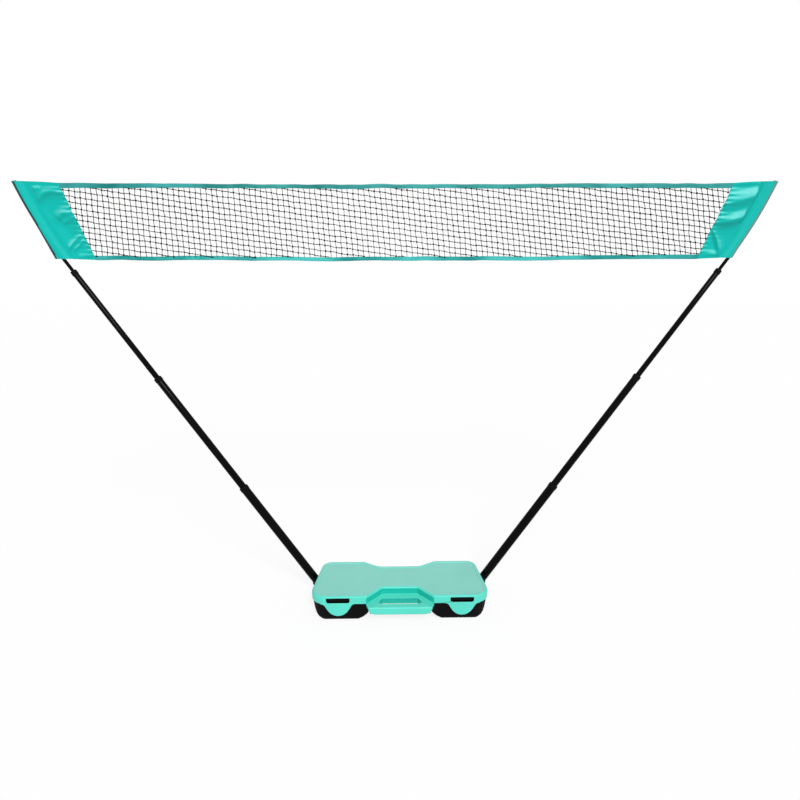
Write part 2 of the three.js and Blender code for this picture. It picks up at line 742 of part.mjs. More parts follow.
// Closed sheet over a lattice of points, front layer then back layer, with a wall round every gap.
// A cell's corners run round it as seen from the front, and each edge knows the cell beyond it.
function closedSheet(positions, wide, tall, isFilled, mirrored = false) {
  const corners = [[0, 0], [1, 0], [1, 1], [0, 1]];
  const beyond = [[0, -1], [1, 0], [0, 1], [-1, 0]];
  const inside = (i, j) => i >= 0 && j >= 0 && i < wide - 1 && j < tall - 1 && isFilled(i, j);
  const index = [];
  const quad = (a, b, c, d) => {
    index.push(...(mirrored ? [a, c, b, a, d, c] : [a, b, c, a, c, d]));
  };
  for (let j = 0; j < tall - 1; j += 1) {
    for (let i = 0; i < wide - 1; i += 1) {
      if (!inside(i, j)) continue;
      const front = corners.map(([right, up]) => (j + up) * wide + i + right);
      const back = front.map((point) => point + wide * tall);
      quad(...front);
      quad(...back.toReversed());
      beyond.forEach(([right, up], edge) => {
        const next = (edge + 1) % corners.length;
        if (!inside(i + right, j + up)) quad(front[edge], back[edge], back[next], front[next]);
      });
    }
  }
  const geometry = new THREE.BufferGeometry();
  geometry.setAttribute("position", new THREE.Float32BufferAttribute(positions, 3));
  geometry.setIndex(index);
  return geometry;
}

// End panel: a piece of fabric with a sleeve for the rod along its outer edge
const netTop = rodPoint(rodEnd).y + tipCapRadius;
const hemHeight = rodPoint(hemAlong).y;
const hemOuter = rodPoint(hemAlong).x + sleeveMargin;
const tipOuter = rodPoint(rodEnd).x + tipCapRadius;
const headHeight = netTop - headDrop;

// The sheet runs from the net to the sleeve with slanting folds, which die out at both
function foldedSheet(side) {
  const { lerp } = THREE.MathUtils;
  const positions = [];
  for (const face of [-1, 1]) {
    for (let row = 0; row <= panelRows; row += 1) {
      for (let column = 0; column <= panelColumns; column += 1) {
        const up = row / panelRows;
        const out = column / panelColumns;
        const foot = hemOuter - panelBottomWidth * (1 - out);
        const head = tipOuter - panelTopWidth * (1 - out);
        const wave = Math.sin(2 * Math.PI * foldCount * (up - foldLeanShare * out));
        const fold = foldDepth * Math.sin(Math.PI * out) ** 2 * Math.sin(Math.PI * up) * wave;
        const high = lerp(headHeight, netTop, out);
        positions.push(side * lerp(foot, head, up));
        positions.push(poleY + fold + (face * panelThickness) / 2);
        positions.push(lerp(hemHeight, high, up));
      }
    }
  }
  return closedSheet(positions, panelColumns + 1, panelRows + 1, () => true, side < 0);
}

function panelGeometry(side) {
  const plate = foldedSheet(side);
  const bore = tipCapRadius + gap;
  const pocketEnd = rodEnd + 2 * tipCapWall + gap;
  const sleeve = rodSweep(side, bore + sleeveWall, hemAlong, pocketEnd + sleeveWall, 8);
  const hollow = rodSweep(side, bore, hemAlong - 2 * overrun, pocketEnd, 10);
  const under = new THREE.Vector3(side * hemOuter, poleY, hemHeight);
  const reach = new THREE.Vector3(panelBottomWidth, panelBottomWidth, netTop - hemHeight);
  const room = boxBetween(
    new THREE.Vector3(under.x - reach.x, under.y - reach.y, under.z),
    new THREE.Vector3(under.x + 2 * reach.x, under.y + reach.y, netTop)
  );
  const whole = joined([plate, sleeve]).subtract(solidOf(hollow)).intersect(solidOf(room));
  return geometryOf(whole);
}

// Net between the panels: width and height follow the panels' slanted inner edges
const headHalf = tipOuter - panelTopWidth - gap;
const footHalf = hemOuter - panelBottomWidth - gap;

function halfWidthAt(height) {
  return THREE.MathUtils.mapLinear(height, hemHeight, headHeight, footHalf, headHalf);
}

function sagged(geometry) {
  const position = geometry.attributes.position;
  for (let i = 0; i < position.count; i += 1) {
    const share = position.getX(i) / halfWidthAt(position.getZ(i));
    position.setZ(i, position.getZ(i) - netSag * (1 - share * share));
  }
  return geometry;
}

function netTape(low, high) {
  const columns = meshColumns / 2;
  const positions = [];
  for (const y of [poleY - tapeThickness / 2, poleY + tapeThickness / 2]) {
    for (const height of [low, high]) {
      for (let i = 0; i <= columns; i += 1) {
        positions.push(halfWidthAt(height) * ((2 * i) / columns - 1), y, height);
      }
    }
  }
  return sagged(closedSheet(positions, columns + 1, 2, () => true));
}

// Lines of a lattice: each thread has two, half a thread either side of its middle
function threadLines(count, place, half) {
  const lines = [];
  for (let thread = 0; thread <= count; thread += 1) {
    lines.push(place(thread) - (thread ? half : 0));
    lines.push(place(thread) + (thread < count ? half : 0));
  }
  return lines;
}

function meshGeometry() {
  const low = hemHeight + bottomTapeHeight + gap;
  const high = headHeight - topTapeHeight - gap;
  const half = threadWidth / 2;
  const heights = threadLines(meshRows, (row) => low + ((high - low) * row) / meshRows, half);
  const across = heights.map((height) => {
    const middle = (column) => halfWidthAt(height) * ((2 * column) / meshColumns - 1);
    return threadLines(meshColumns, middle, half);
  });
  const depths = [poleY - threadDepth / 2, poleY + threadDepth / 2];
  const layer = (y) => across.flatMap((line, j) => line.flatMap((x) => [x, y, heights[j]]));
  const isThread = (i, j) => i % 2 === 0 || j % 2 === 0;
  return sagged(closedSheet(depths.flatMap(layer), across[0].length, heights.length, isThread));
}

// Assembly
const set = new THREE.Group();

function add(name, geometry, finish, side = 0) {
  const mesh = new THREE.Mesh(geometry, new THREE.MeshStandardMaterial(finish));
  mesh.name = name;
  if (side) placeOnPole(mesh, side);
  set.add(mesh);
}

add("case_base", baseGeometry(), blackPlastic);
add("case_lid", lidGeometry(), turquoise);

const pinHalf = hingeMiddleWidth / 2 + hingeSideGap + hingeSideWidth;
const lowSlide = [tubeTops[0] - tubeOverlap, tubeTops[1] - tubeOverlap];
for (const [name, side] of [["left", -1], ["right", 1]]) {
  const hinge = side * hingeCentre;
  const pinEnds = [hinge - pinHalf, hinge + pinHalf];
  const pin = barAlongX(hingePinRadius, ...pinEnds, hingeY, partingHeight, pinSideCount);
  add(`hinge_pin_${name}`, pin, steel);
  const latch = side * tongueCentre;
  const latchEnds = [latch - tabSpan, latch + tabSpan];
  const latchPin = barAlongX(tabPinRadius, ...latchEnds, tabPivotY, tabPivotHeight, pinSideCount);
  add(`latch_tab_${name}`, tabGeometry(side), blackPlastic);
  add(`latch_pin_${name}`, latchPin, steel);

  const bores = tubeRadii.map((radius, section) => radius - tubeWalls[section]);
  add(`${name}_foot_plug`, footPlugGeometry(), blackPlastic, side);
  add(`${name}_tube_1`, ring(bores[0], tubeRadii[0], 0, tubeTops[0], tubeSideCount), blackTube, side);
  add(`${name}_collar_1`, collarGeometry(0, tubeRadii[1]), blackPlastic, side);
  add(`${name}_bush_2`, bushGeometry(tubeRadii[1], bores[0], lowSlide[0]), blackPlastic, side);
  const middleTube = ring(bores[1], tubeRadii[1], lowSlide[0], tubeTops[1], tubeSideCount);
  add(`${name}_tube_2`, middleTube, blackTube, side);
  add(`${name}_collar_2`, collarGeometry(1, tubeRadii[2]), blackPlastic, side);
  add(`${name}_bush_3`, bushGeometry(tubeRadii[2], bores[1], lowSlide[1]), blackPlastic, side);
  const thinTube = ring(bores[2], tubeRadii[2], lowSlide[1], tubeTops[2], thinTubeSideCount);
  add(`${name}_tube_3`, thinTube, blackTube, side);
  add(`${name}_collar_3`, collarGeometry(2, rodRadius), blackPlastic, side);
  add(`${name}_rod_bush`, bushGeometry(rodRadius, bores[2], rodStart), blackPlastic, side);
  add(`${name}_top_rod`, rodSweep(side, rodRadius, rodStart, rodEnd - 2 * gap, 11), blackTube);
  add(`${name}_tip_cap`, tipCapGeometry(side), blackPlastic);
  add(`net_panel_${name}`, panelGeometry(side), fabric);
}

add("top_tape", netTape(headHeight - topTapeHeight, headHeight), fabric);
add("bottom_tape", netTape(hemHeight, hemHeight + bottomTapeHeight), fabric);
add("net_mesh", meshGeometry(), netting);

export default set;
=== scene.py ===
"""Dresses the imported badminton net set: a moulded carry case as the base, two telescopic poles that lean out
in a V, and a low net with satin end panels between their tips. Metres, +Z up, the net along X."""

import json
import math
import random

import bmesh
import bpy
import numpy as np
from bpy.props import FloatProperty, FloatVectorProperty, IntProperty, PointerProperty
from mathutils import Matrix, Vector, noise
from mathutils.geometry import intersect_point_line

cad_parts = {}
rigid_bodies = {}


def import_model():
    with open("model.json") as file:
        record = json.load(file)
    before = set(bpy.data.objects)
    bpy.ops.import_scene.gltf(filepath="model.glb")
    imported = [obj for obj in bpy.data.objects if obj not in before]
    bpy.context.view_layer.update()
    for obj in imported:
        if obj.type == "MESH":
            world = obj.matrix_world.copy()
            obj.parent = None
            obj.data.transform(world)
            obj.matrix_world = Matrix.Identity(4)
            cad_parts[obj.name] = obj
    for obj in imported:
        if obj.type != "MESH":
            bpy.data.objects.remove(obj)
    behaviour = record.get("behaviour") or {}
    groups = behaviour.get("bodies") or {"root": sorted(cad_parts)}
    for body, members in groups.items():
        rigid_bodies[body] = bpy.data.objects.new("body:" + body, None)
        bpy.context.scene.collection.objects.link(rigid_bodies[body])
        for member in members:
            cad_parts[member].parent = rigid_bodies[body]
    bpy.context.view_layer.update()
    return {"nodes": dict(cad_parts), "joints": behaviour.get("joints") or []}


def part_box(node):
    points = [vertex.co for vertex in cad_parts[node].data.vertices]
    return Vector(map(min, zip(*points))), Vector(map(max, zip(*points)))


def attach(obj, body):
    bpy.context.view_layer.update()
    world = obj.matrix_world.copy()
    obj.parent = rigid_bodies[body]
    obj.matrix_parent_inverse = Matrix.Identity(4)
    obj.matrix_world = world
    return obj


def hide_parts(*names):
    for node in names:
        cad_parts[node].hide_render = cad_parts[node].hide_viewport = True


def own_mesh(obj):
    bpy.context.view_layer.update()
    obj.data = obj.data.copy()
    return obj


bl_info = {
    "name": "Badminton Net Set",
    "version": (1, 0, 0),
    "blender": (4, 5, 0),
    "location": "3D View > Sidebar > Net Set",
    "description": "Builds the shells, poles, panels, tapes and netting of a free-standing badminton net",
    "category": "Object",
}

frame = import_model()
joints = {joint["name"]: joint for joint in frame["joints"]}
SIDES = {"left": -1, "right": 1}


def colour(label, note, red, green, blue):
    """A colour that a user can change, written as it looks on a screen, from 0 to 255."""
    linear = [((part / 255 + 0.055) / 1.055) ** 2.4 if part > 10 else part / 255 / 12.92
              for part in (red, green, blue)]
    return FloatVectorProperty(name=label, description=note, subtype="COLOR", size=3, min=0, max=1,
                               default=linear)


def length(label, note, default):
    """A length that a user can change, in metres."""
    return FloatProperty(name=label, description=note, default=default, min=0, unit="LENGTH", precision=4)


def share(label, note, default):
    """A share from 0 to 1 that a user can change."""
    return FloatProperty(name=label, description=note, default=default, min=0, max=1, subtype="FACTOR")


def angle(label, note, degrees):
    """An angle that a user can change."""
    return FloatProperty(name=label, description=note, default=math.radians(degrees), subtype="ANGLE")


# Settings


class StageSettings(bpy.types.PropertyGroup):
    """Camera, lamps and floor."""

    eye: FloatVectorProperty(name="Camera place", description="Where the camera stands", size=3,
                             subtype="TRANSLATION", unit="LENGTH", default=(-0.0345, -2.1, 1.4215))
    yaw: angle("Camera yaw", "Turn to the right of straight ahead", 1.0)
    pitch: angle("Camera pitch", "Tilt below the horizon", 16.08)
    roll: angle("Camera roll", "Turn about the line of sight", -0.05)
    lens: FloatProperty(name="Lens", description="Focal length", default=28.02, unit="CAMERA")
    sensor: FloatProperty(name="Sensor", description="Sensor width", default=36, unit="CAMERA")
    sky: FloatProperty(name="Sky light", description="Strength of the even light from all round",
                       default=0.36, min=0)
    sun: FloatProperty(name="Key light", description="Strength of the soft lamp", default=2.3, min=0)
    sun_size: angle("Key softness", "How wide the key lamp looks from the object", 22)
    sun_turn: angle("Key direction", "From straight in front towards the right", 12)
    sun_height: angle("Key height", "Above the horizon", 43)
    floor_size: length("Floor", "Half the width of the floor", 9)
    floor_white: share("Floor glow", "Share of the floor that stays white in the picture", 0.8)
    glow: FloatProperty(name="Glow strength", description="Brightness of that share", default=1.06, min=0)
    floor_tone: colour("Floor tone", "Colour of the floor's lit share", 235, 236, 236)


class CaseSettings(bpy.types.PropertyGroup):
    """The moulded carry case."""

    shell: colour("Shell", "Turquoise of the lid's border, handle and tongues", 84, 222, 202)
    field: colour("Field", "Paler, matt turquoise of the lid's sunken field", 140, 220, 206)
    # Painted shade: the recess tone is deeper than the shell to stand in for the shade on the walls round the
    # handle.
    recess: colour("Recess", "Deeper turquoise of the walls round the handle", 20, 190, 172)
    base: colour("Base", "Black of the tray and its feet", 8, 6, 8)
    edge: length("Edge radius", "Rounding of the moulded edges", 0.0011)
    edge_steps: IntProperty(name="Edge steps", description="Facets over a rounded edge", default=2, min=1)
    grain: length("Grain", "Depth of the moulded grain", 0.00005)
    field_depth: length("Field depth", "How far below the lid's top its matt field reaches", 0.003)
    # These three bound the faces that get the painted recess shade.
    recess_half: length("Recess", "Half the width of the recess round the handle", 0.125)
    recess_near: length("Recess front", "From the lid's front to the recess's nearest wall", 0.029)
    recess_far: length("Recess back", "From the lid's front to behind the recess's rear wall", 0.095)


class PoleSettings(bpy.types.PropertyGroup):
    """Telescopic tubes, collars and top rods."""

    black: colour("Tube black", "Gloss black of the tubes", 4, 4, 5)
    fitting: colour("Fitting black", "Black of the collars, caps and tabs", 8, 7, 9)
    steel: colour("Steel", "Colour of the pins", 178, 181, 186)
    sides: IntProperty(name="Sides", description="Facets round a tube", default=40, min=12)
    rim: length("Rim", "Rounding of a tube's ends", 0.0004)
    fit: length("Collar fit", "Between a collar and the tube that it sits on", 0.0003)
    mouth: length("Collar mouth", "How far a collar rounds in towards the tube that slides in it", 0.0026)
    rod_straight: length("Rod straight", "Straight stretch of a top rod above the last tube", 0.055)
    rod_bend: length("Rod bend", "Radius of the bend that the net pulls into a top rod", 1.15)
    rod_end: share("Rod ends", "Radius of a rod's ends, against the rod's own", 0.8)
    cap_mouth: share("Cap mouth", "Radius of a cap's open end, against the cap's own", 0.93)
    cap_end: share("Cap end", "Radius of a cap's closed end, against the cap's own", 0.7)
    cap_crown: length("Cap crown", "How far a cap's closed end stands beyond its rod", 0.0012)


class NetSettings(bpy.types.PropertyGroup):
    """Netting and tapes."""

    twine: colour("Twine", "Black of the netting", 4, 4, 5)
    pitch_across: length("Mesh width", "Between the upright threads", 0.0181)
    pitch_up: length("Mesh height", "Between the level threads", 0.0182)
    row_slope: angle("Row slope", "How far the level threads run down to the right", 8.1)
    column_lean: angle("Column lean", "How far the upright threads' feet stand to the right", 5)
    column_fan: angle("Column fan", "How much more they lean at the right end, and less at the left", 8)
    thread: length("Thread", "Radius of an upright thread", 0.0011)
    thin: length("Thin thread", "Radius of a level thread between its swellings", 0.0008)
    slub: length("Slub", "Radius of a level thread where its twist swells", 0.0023)
    knot: length("Knot", "Radius of a knot", 0.0035)
    wander: length("Wander", "How far a thread strays from its line", 0.0013)
    sag: length("Sag", "How far the net hangs down in its middle", 0.004)
    drop: length("Drop", "How far the net hangs below the tips at the end panels", 0.004)
    tape: colour("Tape", "Darker turquoise of the tapes", 10, 124, 121)
    tape_light: colour("Tape light", "Turquoise of the tapes where they catch the light", 62, 172, 168)
    foot_lift: FloatProperty(name="Foot tape lift", description="How much paler the foot tape is",
                             default=1.45, min=1)
    top_tape: length("Top tape", "Height of the tape along the net's head", 0.0158)
    bottom_tape: length("Bottom tape", "Height of the tape along the net's foot", 0.0152)
    tape_lap: length("Tape lap", "How far the tapes run over the end panels", 0.003)
    cloth: length("Tape cloth", "Thickness of the tape's cloth", 0.0005)


class PanelSettings(bpy.types.PropertyGroup):
    """Satin end panels with their rod sleeves."""

    satin: colour("Satin", "Turquoise of the end panels", 0, 186, 176)
    # Painted sheen: the paler tone that the satin gets where its folds face up stands in for the light that
    # they catch.
    painted_sheen: colour("Caught light", "Paler turquoise of the satin where its folds face up", 112, 218, 211)
    stitch: colour("Stitches", "Thread of the seams", 0, 184, 174)
    # Painted light and shade, not a cloth of its own: the left edge tone paints the shade on the left sleeve's
    # outer side, and the right edge tone paints the light on the right sleeve's outer side.
    left_binding: colour("Left binding", "Tone of the left panel's bound outer edge", 10, 66, 68)
    right_binding: colour("Right binding", "Tone of the right panel's bound outer edge", 106, 150, 150)
    cloth: length("Cloth", "Thickness of the satin", 0.0006)
    hem: length("Hem", "Height of the folded hems", 0.009)
    sleeve_band: length("Sleeve", "Width of the sleeve, where the rod leaves room", 0.026)
    sleeve_run: length("Sleeve run", "From the rod's middle to the sleeve's seam", 0.034)
    sleeve_room: length("Sleeve room", "Between the rod and the sleeve's cloth", 0.0004)
    left_foot: length("Left foot", "Cloth outside the rod at the left panel's foot", 0.027)
    right_foot: length("Right foot", "Cloth outside the rod at the right panel's foot", 0.014)
    sleeve_edge: length("Sleeve edge", "Cloth outside the rod's side of the sleeve", 0.0016)
    # Width of the strip along each outer edge that gets its side's painted edge tone.
    binding_width: length("Binding width", "Width of the bound outer edge", 0.0105)
    tip_shown: length("Tip", "How much of a rod's cap stands out of the sleeve", 0.0008)
    stitch_pitch: length("Stitch pitch", "From one stitch to the next", 0.0042)
    stitch_size: length("Stitch size", "Radius of the sewing thread", 0.00035)
    gather_pitch: length("Gather pitch", "From one small gather to the next beside the netting", 0.0155)
    gather: length("Gather depth", "Depth of those gathers", 0.002)
    hollow: length("Hollow", "How far a panel's middle hangs back between its hems", 0.009)
    hollow_reach: length("Hollow reach", "From a hem to the panel's middle", 0.125)
    gloss: FloatVectorProperty(name="Gloss", description="Tint of the satin's shine", subtype="COLOR", size=3,
                               min=0, max=1, default=(0.3, 1.0, 0.95))


# Places read from the frame


def up_axis(side):
    """Direction of a pole, from its foot to its tip."""
    return -Vector(joints[f"{side}_tube_2_slide"]["axis"]).normalized()


FACE_DEPTH = 1e-5  # corners this near to a piece's end count as lying in its end face


def pole_matrix(side):
    """Frame of a pole: its origin in the middle of the foot plug's lower face, its Z along the pole."""
    plug = frame["nodes"][f"{side}_foot_plug"].data.vertices
    axis = up_axis(side)
    along = [point.co.dot(axis) for point in plug]
    lowest = min(along)
    foot = [point.co for point, height in zip(plug, along) if height < lowest + FACE_DEPTH]
    low, high = np.min(foot, axis=0), np.max(foot, axis=0)
    place = Vector((low + high) / 2)
    turn = Vector((0, 0, 1)).rotation_difference(axis).to_matrix().to_4x4()
    return Matrix.Translation(place) @ turn


def span_on_pole(node, side):
    """Lowest, highest, inner and outer reach of a node, along and from the pole's own axis."""
    into = pole_matrix(side).inverted()
    points = [into @ point.co for point in frame["nodes"][node].data.vertices]
    heights = [point.z for point in points]
    reaches = [math.hypot(point.x, point.y) for point in points]
    return min(heights), max(heights), min(reaches), max(reaches)


def half_depth(node):
    """Half a node's depth, square to the net."""
    low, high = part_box(node)
    return (high.y - low.y) / 2


def rod_line(side, settings, steps=48):
    """Points along the middle of a top rod: straight out of the last tube, then bent upright by the net."""
    sign = SIDES[side]
    matrix = pole_matrix(side)
    tube_top = span_on_pole(f"{side}_tube_3", side)[1]
    axis = up_axis(side)
    start = span_on_pole(f"{side}_rod_bush", side)[0]
    bend_foot = matrix @ Vector((0, 0, tube_top + settings.rod_straight))
    slope = math.atan2(axis.z, axis.x * sign)
    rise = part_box(f"{side}_top_rod")[1].z - bend_foot.z
    last = math.acos(math.cos(slope) - rise / settings.rod_bend)
    points = [matrix @ Vector((0, 0, start)), matrix @ Vector((0, 0, tube_top)), bend_foot]
    for step in range(1, steps + 1):
        turned = slope + (last - slope) * step / steps
        across = settings.rod_bend * (math.sin(turned) - math.sin(slope))
        height = settings.rod_bend * (math.cos(slope) - math.cos(turned))
        points.append(bend_foot + Vector((sign * across, 0, height)))
    return points


# Mesh makers


def mesh_piece(name, vertices, faces, body, slot, *nodes):
    """A new piece from points and faces, riding on a body and standing for its nodes."""
    mesh = bpy.data.meshes.new(name)
    mesh.from_pydata([tuple(vertex) for vertex in vertices], [], faces)
    mesh.validate()
    mesh.update()
    return settled(bpy.data.objects.new(name, mesh), body, slot, *nodes)


def settled(piece, body, slot, *nodes):
    """Puts a piece in the scene, on its body, in place of its nodes. Its slot is not used."""
    bpy.context.scene.collection.objects.link(piece)
    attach(piece, body)
    if nodes:
        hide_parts(*nodes)
    return piece


# Degrees above which an edge between two facets stays sharp
MOULD_EDGE, ROUND_EDGE, CAP_EDGE, CLOTH_EDGE, TWINE_EDGE = 38, 40, 50, 60, 80


def smoothed(piece, degrees):
    """Shades a piece smooth, apart from edges sharper than an angle."""
    piece.data.polygons.foreach_set("use_smooth", [True] * len(piece.data.polygons))
    piece.data.set_sharp_from_angle(angle=math.radians(degrees))
    return piece


def grid_faces(rows, columns, wrap_rows=False, wrap_columns=False, start=0, turned=False):
    """Quads between the rows and columns of a grid of points."""
    faces = []
    for row in range(rows if wrap_rows else rows - 1):
        for column in range(columns if wrap_columns else columns - 1):
            beside = (column + 1) % columns
            above = (row + 1) % rows
            face = [start + row * columns + column, start + row * columns + beside,
                    start + above * columns + beside, start + above * columns + column]
            faces.append(face[::-1] if turned else face)
    return faces


def lathed(name, profile, sides, matrix, body, slot, *nodes):
    """A ring turned from a closed profile of radii and heights, its axis along the matrix's Z."""
    points = []
    for radius, height in profile:
        for side in range(sides):
            turn = 2 * math.pi * side / sides
            points.append((radius * math.cos(turn), radius * math.sin(turn), height))
    faces = grid_faces(len(profile), sides, wrap_rows=True, wrap_columns=True)
    piece = mesh_piece(name, points, faces, body, slot, *nodes)
    piece.matrix_world = piece.parent.matrix_world @ matrix
    return smoothed(piece, ROUND_EDGE)


def frames_along(points):
    """Two directions across a line at each of its points, carried along without twist."""
    tangents = []
    for index in range(len(points)):
        before = points[max(index - 1, 0)]
        after = points[min(index + 1, len(points) - 1)]
        tangents.append((after - before).normalized())
    across = tangents[0].orthogonal().normalized()
    frames = []
    for tangent in tangents:
        across = (across - tangent * across.dot(tangent)).normalized()
        frames.append((across, tangent.cross(across)))
    return frames


def swept(points, radii, sides, start=0):
    """Vertices and faces of a closed tube along points, with a radius at each."""
    vertices = []
    for point, radius, (across, up) in zip(points, radii, frames_along(points)):
        for side in range(sides):
            turn = 2 * math.pi * side / sides
            vertices.append(point + across * (radius * math.cos(turn)) + up * (radius * math.sin(turn)))
    faces = grid_faces(len(points), sides, wrap_columns=True, start=start)
    faces.append([start + side for side in reversed(range(sides))])
    last = start + (len(points) - 1) * sides
    faces.append([last + side for side in range(sides)])
    return vertices, faces


def grid_normals(grid):
    """Directions square to a grid of points, by differences along its rows and columns."""
    along = np.gradient(grid, axis=1)
    up = np.gradient(grid, axis=0)
    normals = np.cross(along, up)
    lengths = np.linalg.norm(normals, axis=2, keepdims=True)
    return normals / np.maximum(lengths, 1e-12)


def cloth_piece(name, grid, thickness, body, slot, *nodes):
    """Cloth over a grid of points: two layers, half a thickness either side, and a wall round them."""
    rows, columns = grid.shape[:2]
    half = np.broadcast_to(np.asarray(thickness) / 2, (rows, columns))[..., None]
    offset = grid_normals(grid) * half
    layers = np.concatenate([(grid + offset).reshape(-1, 3), (grid - offset).reshape(-1, 3)])
    count = rows * columns
    faces = grid_faces(rows, columns) + grid_faces(rows, columns, start=count, turned=True)
    rim = [(0, column) for column in range(columns)]
    rim += [(row, columns - 1) for row in range(1, rows)]
    rim += [(rows - 1, column) for column in range(columns - 2, -1, -1)]
    rim += [(row, 0) for row in range(rows - 2, 0, -1)]
    loop = [row * columns + column for row, column in rim]
    for here, there in zip(loop, loop[1:] + loop[:1]):
        faces.append([there, here, here + count, there + count])
    piece = mesh_piece(name, layers, faces, body, slot, *nodes)
    return smoothed(piece, CLOTH_EDGE)


MERGE = 2e-5  # points nearer to each other than this are one
FLAT_ANGLE = 0.6  # degrees between facets that are one flat face
BEVEL_ANGLE = 34  # degrees at an edge from which it is rounded
BEVEL_ROOM = 2.2  # room that an edge's full rounding needs on the faces beside it, in edge radii


def bevel_share(line, edge):
    """Share of the full rounding that fits at an edge, from the room on the faces beside it."""
    middle = (line.verts[0].co + line.verts[1].co) / 2
    room = 2 * edge
    for face in line.link_faces:
        for other in face.edges:
            if other is line or set(other.verts) & set(line.verts):
                continue
            near, _ = intersect_point_line(middle, other.verts[0].co, other.verts[1].co)
            along = (near - other.verts[0].co).dot(other.verts[1].co - other.verts[0].co)
            if 0 <= along <= (other.verts[1].co - other.verts[0].co).length_squared:
                room = min(room, (near - middle).length)
    return min(1.0, room / (BEVEL_ROOM * edge))


def moulded_copy(name, node, edge, steps, body, slot):
    """A finer copy of a moulded node, with its flat facets joined and its edges rounded."""
    mould = bmesh.new()
    mould.from_mesh(frame["nodes"][node].data)
    bmesh.ops.remove_doubles(mould, verts=mould.verts, dist=MERGE)
    bmesh.ops.dissolve_limit(mould, angle_limit=math.radians(FLAT_ANGLE), verts=mould.verts,
                             edges=mould.edges)
    weights = mould.edges.layers.float.new("bevel_weight_edge")
    for line in mould.edges:
        if len(line.link_faces) == 2 and line.calc_face_angle() > math.radians(BEVEL_ANGLE):
            line[weights] = bevel_share(line, edge)
    bmesh.ops.triangulate(mould, faces=[face for face in mould.faces if len(face.verts) > 4])
    mesh = bpy.data.meshes.new(name)
    mould.to_mesh(mesh)
    mould.free()
    piece = settled(bpy.data.objects.new(name, mesh), body, slot, node)
    rounding = piece.modifiers.new("Rounded edges", "BEVEL")
    rounding.limit_method = "WEIGHT"
    rounding.width = edge
    rounding.segments = steps
    rounding.use_clamp_overlap = False
    rounding.loop_slide = False
    smoothed(piece, MOULD_EDGE)
    weighted = piece.modifiers.new("Flat faces stay flat", "WEIGHTED_NORMAL")
    weighted.keep_sharp = True
    return piece


# Surface effects, as node groups


class Wiring:
    """Adds nodes to a tree and links them."""

    def __init__(self, tree):
        self.tree = tree

    def add(self, kind, inputs=None, **settings):
        """A new node with its settings, and with a value or a link at each input that is named."""
        node = self.tree.nodes.new(kind)
        for name, value in settings.items():
            setattr(node, name, value)
        self.feed(node, inputs or {})
        return node

    def feed(self, node, inputs):
        """Gives a node's inputs their values, or links them to the outputs that they come from."""
        for socket, value in inputs.items():
            if isinstance(value, bpy.types.NodeSocket):
                self.tree.links.new(value, node.inputs[socket])
            else:
                node.inputs[socket].default_value = value

    def math(self, operation, first, second=0.0):
        return self.add("ShaderNodeMath", {0: first, 1: second}, operation=operation).outputs[0]

    def place(self):
        """The place on the piece, in its own frame."""
        return self.add("ShaderNodeTexCoord").outputs["Object"]

    def cloud(self, place, scale, detail):
        """Noise over a place, around a half."""
        inputs = {"Vector": place, "Scale": scale, "Detail": detail}
        return self.add("ShaderNodeTexNoise", inputs).outputs["Fac"]

    def swung(self, base, cloud, spread):
        """A base value that swings with a noise, as far as its spread."""
        return self.math("ADD", base, self.math("MULTIPLY", self.math("SUBTRACT", cloud, 0.5), spread))

    def mixed(self, factor, first, second, blend="MIX"):
        """Two colours mixed by a factor."""
        inputs = {"Factor": factor, "A": first, "B": second}
        return self.add("ShaderNodeMix", inputs, data_type="RGBA", blend_type=blend).outputs["Result"]

    def clamped(self, value):
        return self.add("ShaderNodeClamp", {"Value": value}).outputs[0]


def effect(name, inputs, outputs):
    """Starts a node group with named sockets. Returns it, its wiring, its inputs and its output node."""
    group = bpy.data.node_groups.new(name, "ShaderNodeTree")
    for label, default in inputs.items():
        kind = "NodeSocketFloat" if isinstance(default, float) else "NodeSocketColor"
        socket = group.interface.new_socket(label, in_out="INPUT", socket_type=kind)
        socket.default_value = default if kind == "NodeSocketFloat" else (*default, 1)
    for label in outputs:
        kind = "NodeSocketColor" if label == "Color" else "NodeSocketFloat"
        group.interface.new_socket(label, in_out="OUTPUT", socket_type=kind)
    entry = group.nodes.new("NodeGroupInput").outputs
    leave = group.nodes.new("NodeGroupOutput")
    return group, Wiring(group), entry, leave


def moulded_grain():
    """Fine grain of moulded plastic: a height, and a roughness that varies with it."""
    group, wire, entry, leave = effect(
        "Moulded grain", {"Scale": 900.0, "Depth": 0.00005, "Roughness": 0.45, "Spread": 0.12},
        ("Height", "Roughness"))
    place = wire.place()
    fine = wire.cloud(place, entry["Scale"], 3.0)
    broad = wire.cloud(place, 14.0, 4.0)
    wire.feed(leave, {"Height": wire.math("MULTIPLY", fine, entry["Depth"]),
                      "Roughness": wire.swung(entry["Roughness"], broad, entry["Spread"])})
    return group


def tone_drift():
    """Slow drift between two colours over a surface."""
    group, wire, entry, leave = effect(
        "Tone drift", {"First": (0.5, 0.5, 0.5), "Second": (0.4, 0.4, 0.4), "Scale": 6.0, "Contrast": 2.0},
        ("Color", "Mask"))
    cloud = wire.cloud(wire.place(), entry["Scale"], 5.0)
    mask = wire.clamped(wire.swung(0.5, cloud, entry["Contrast"]))
    wire.feed(leave, {"Color": wire.mixed(mask, entry["First"], entry["Second"]), "Mask": mask})
    return group


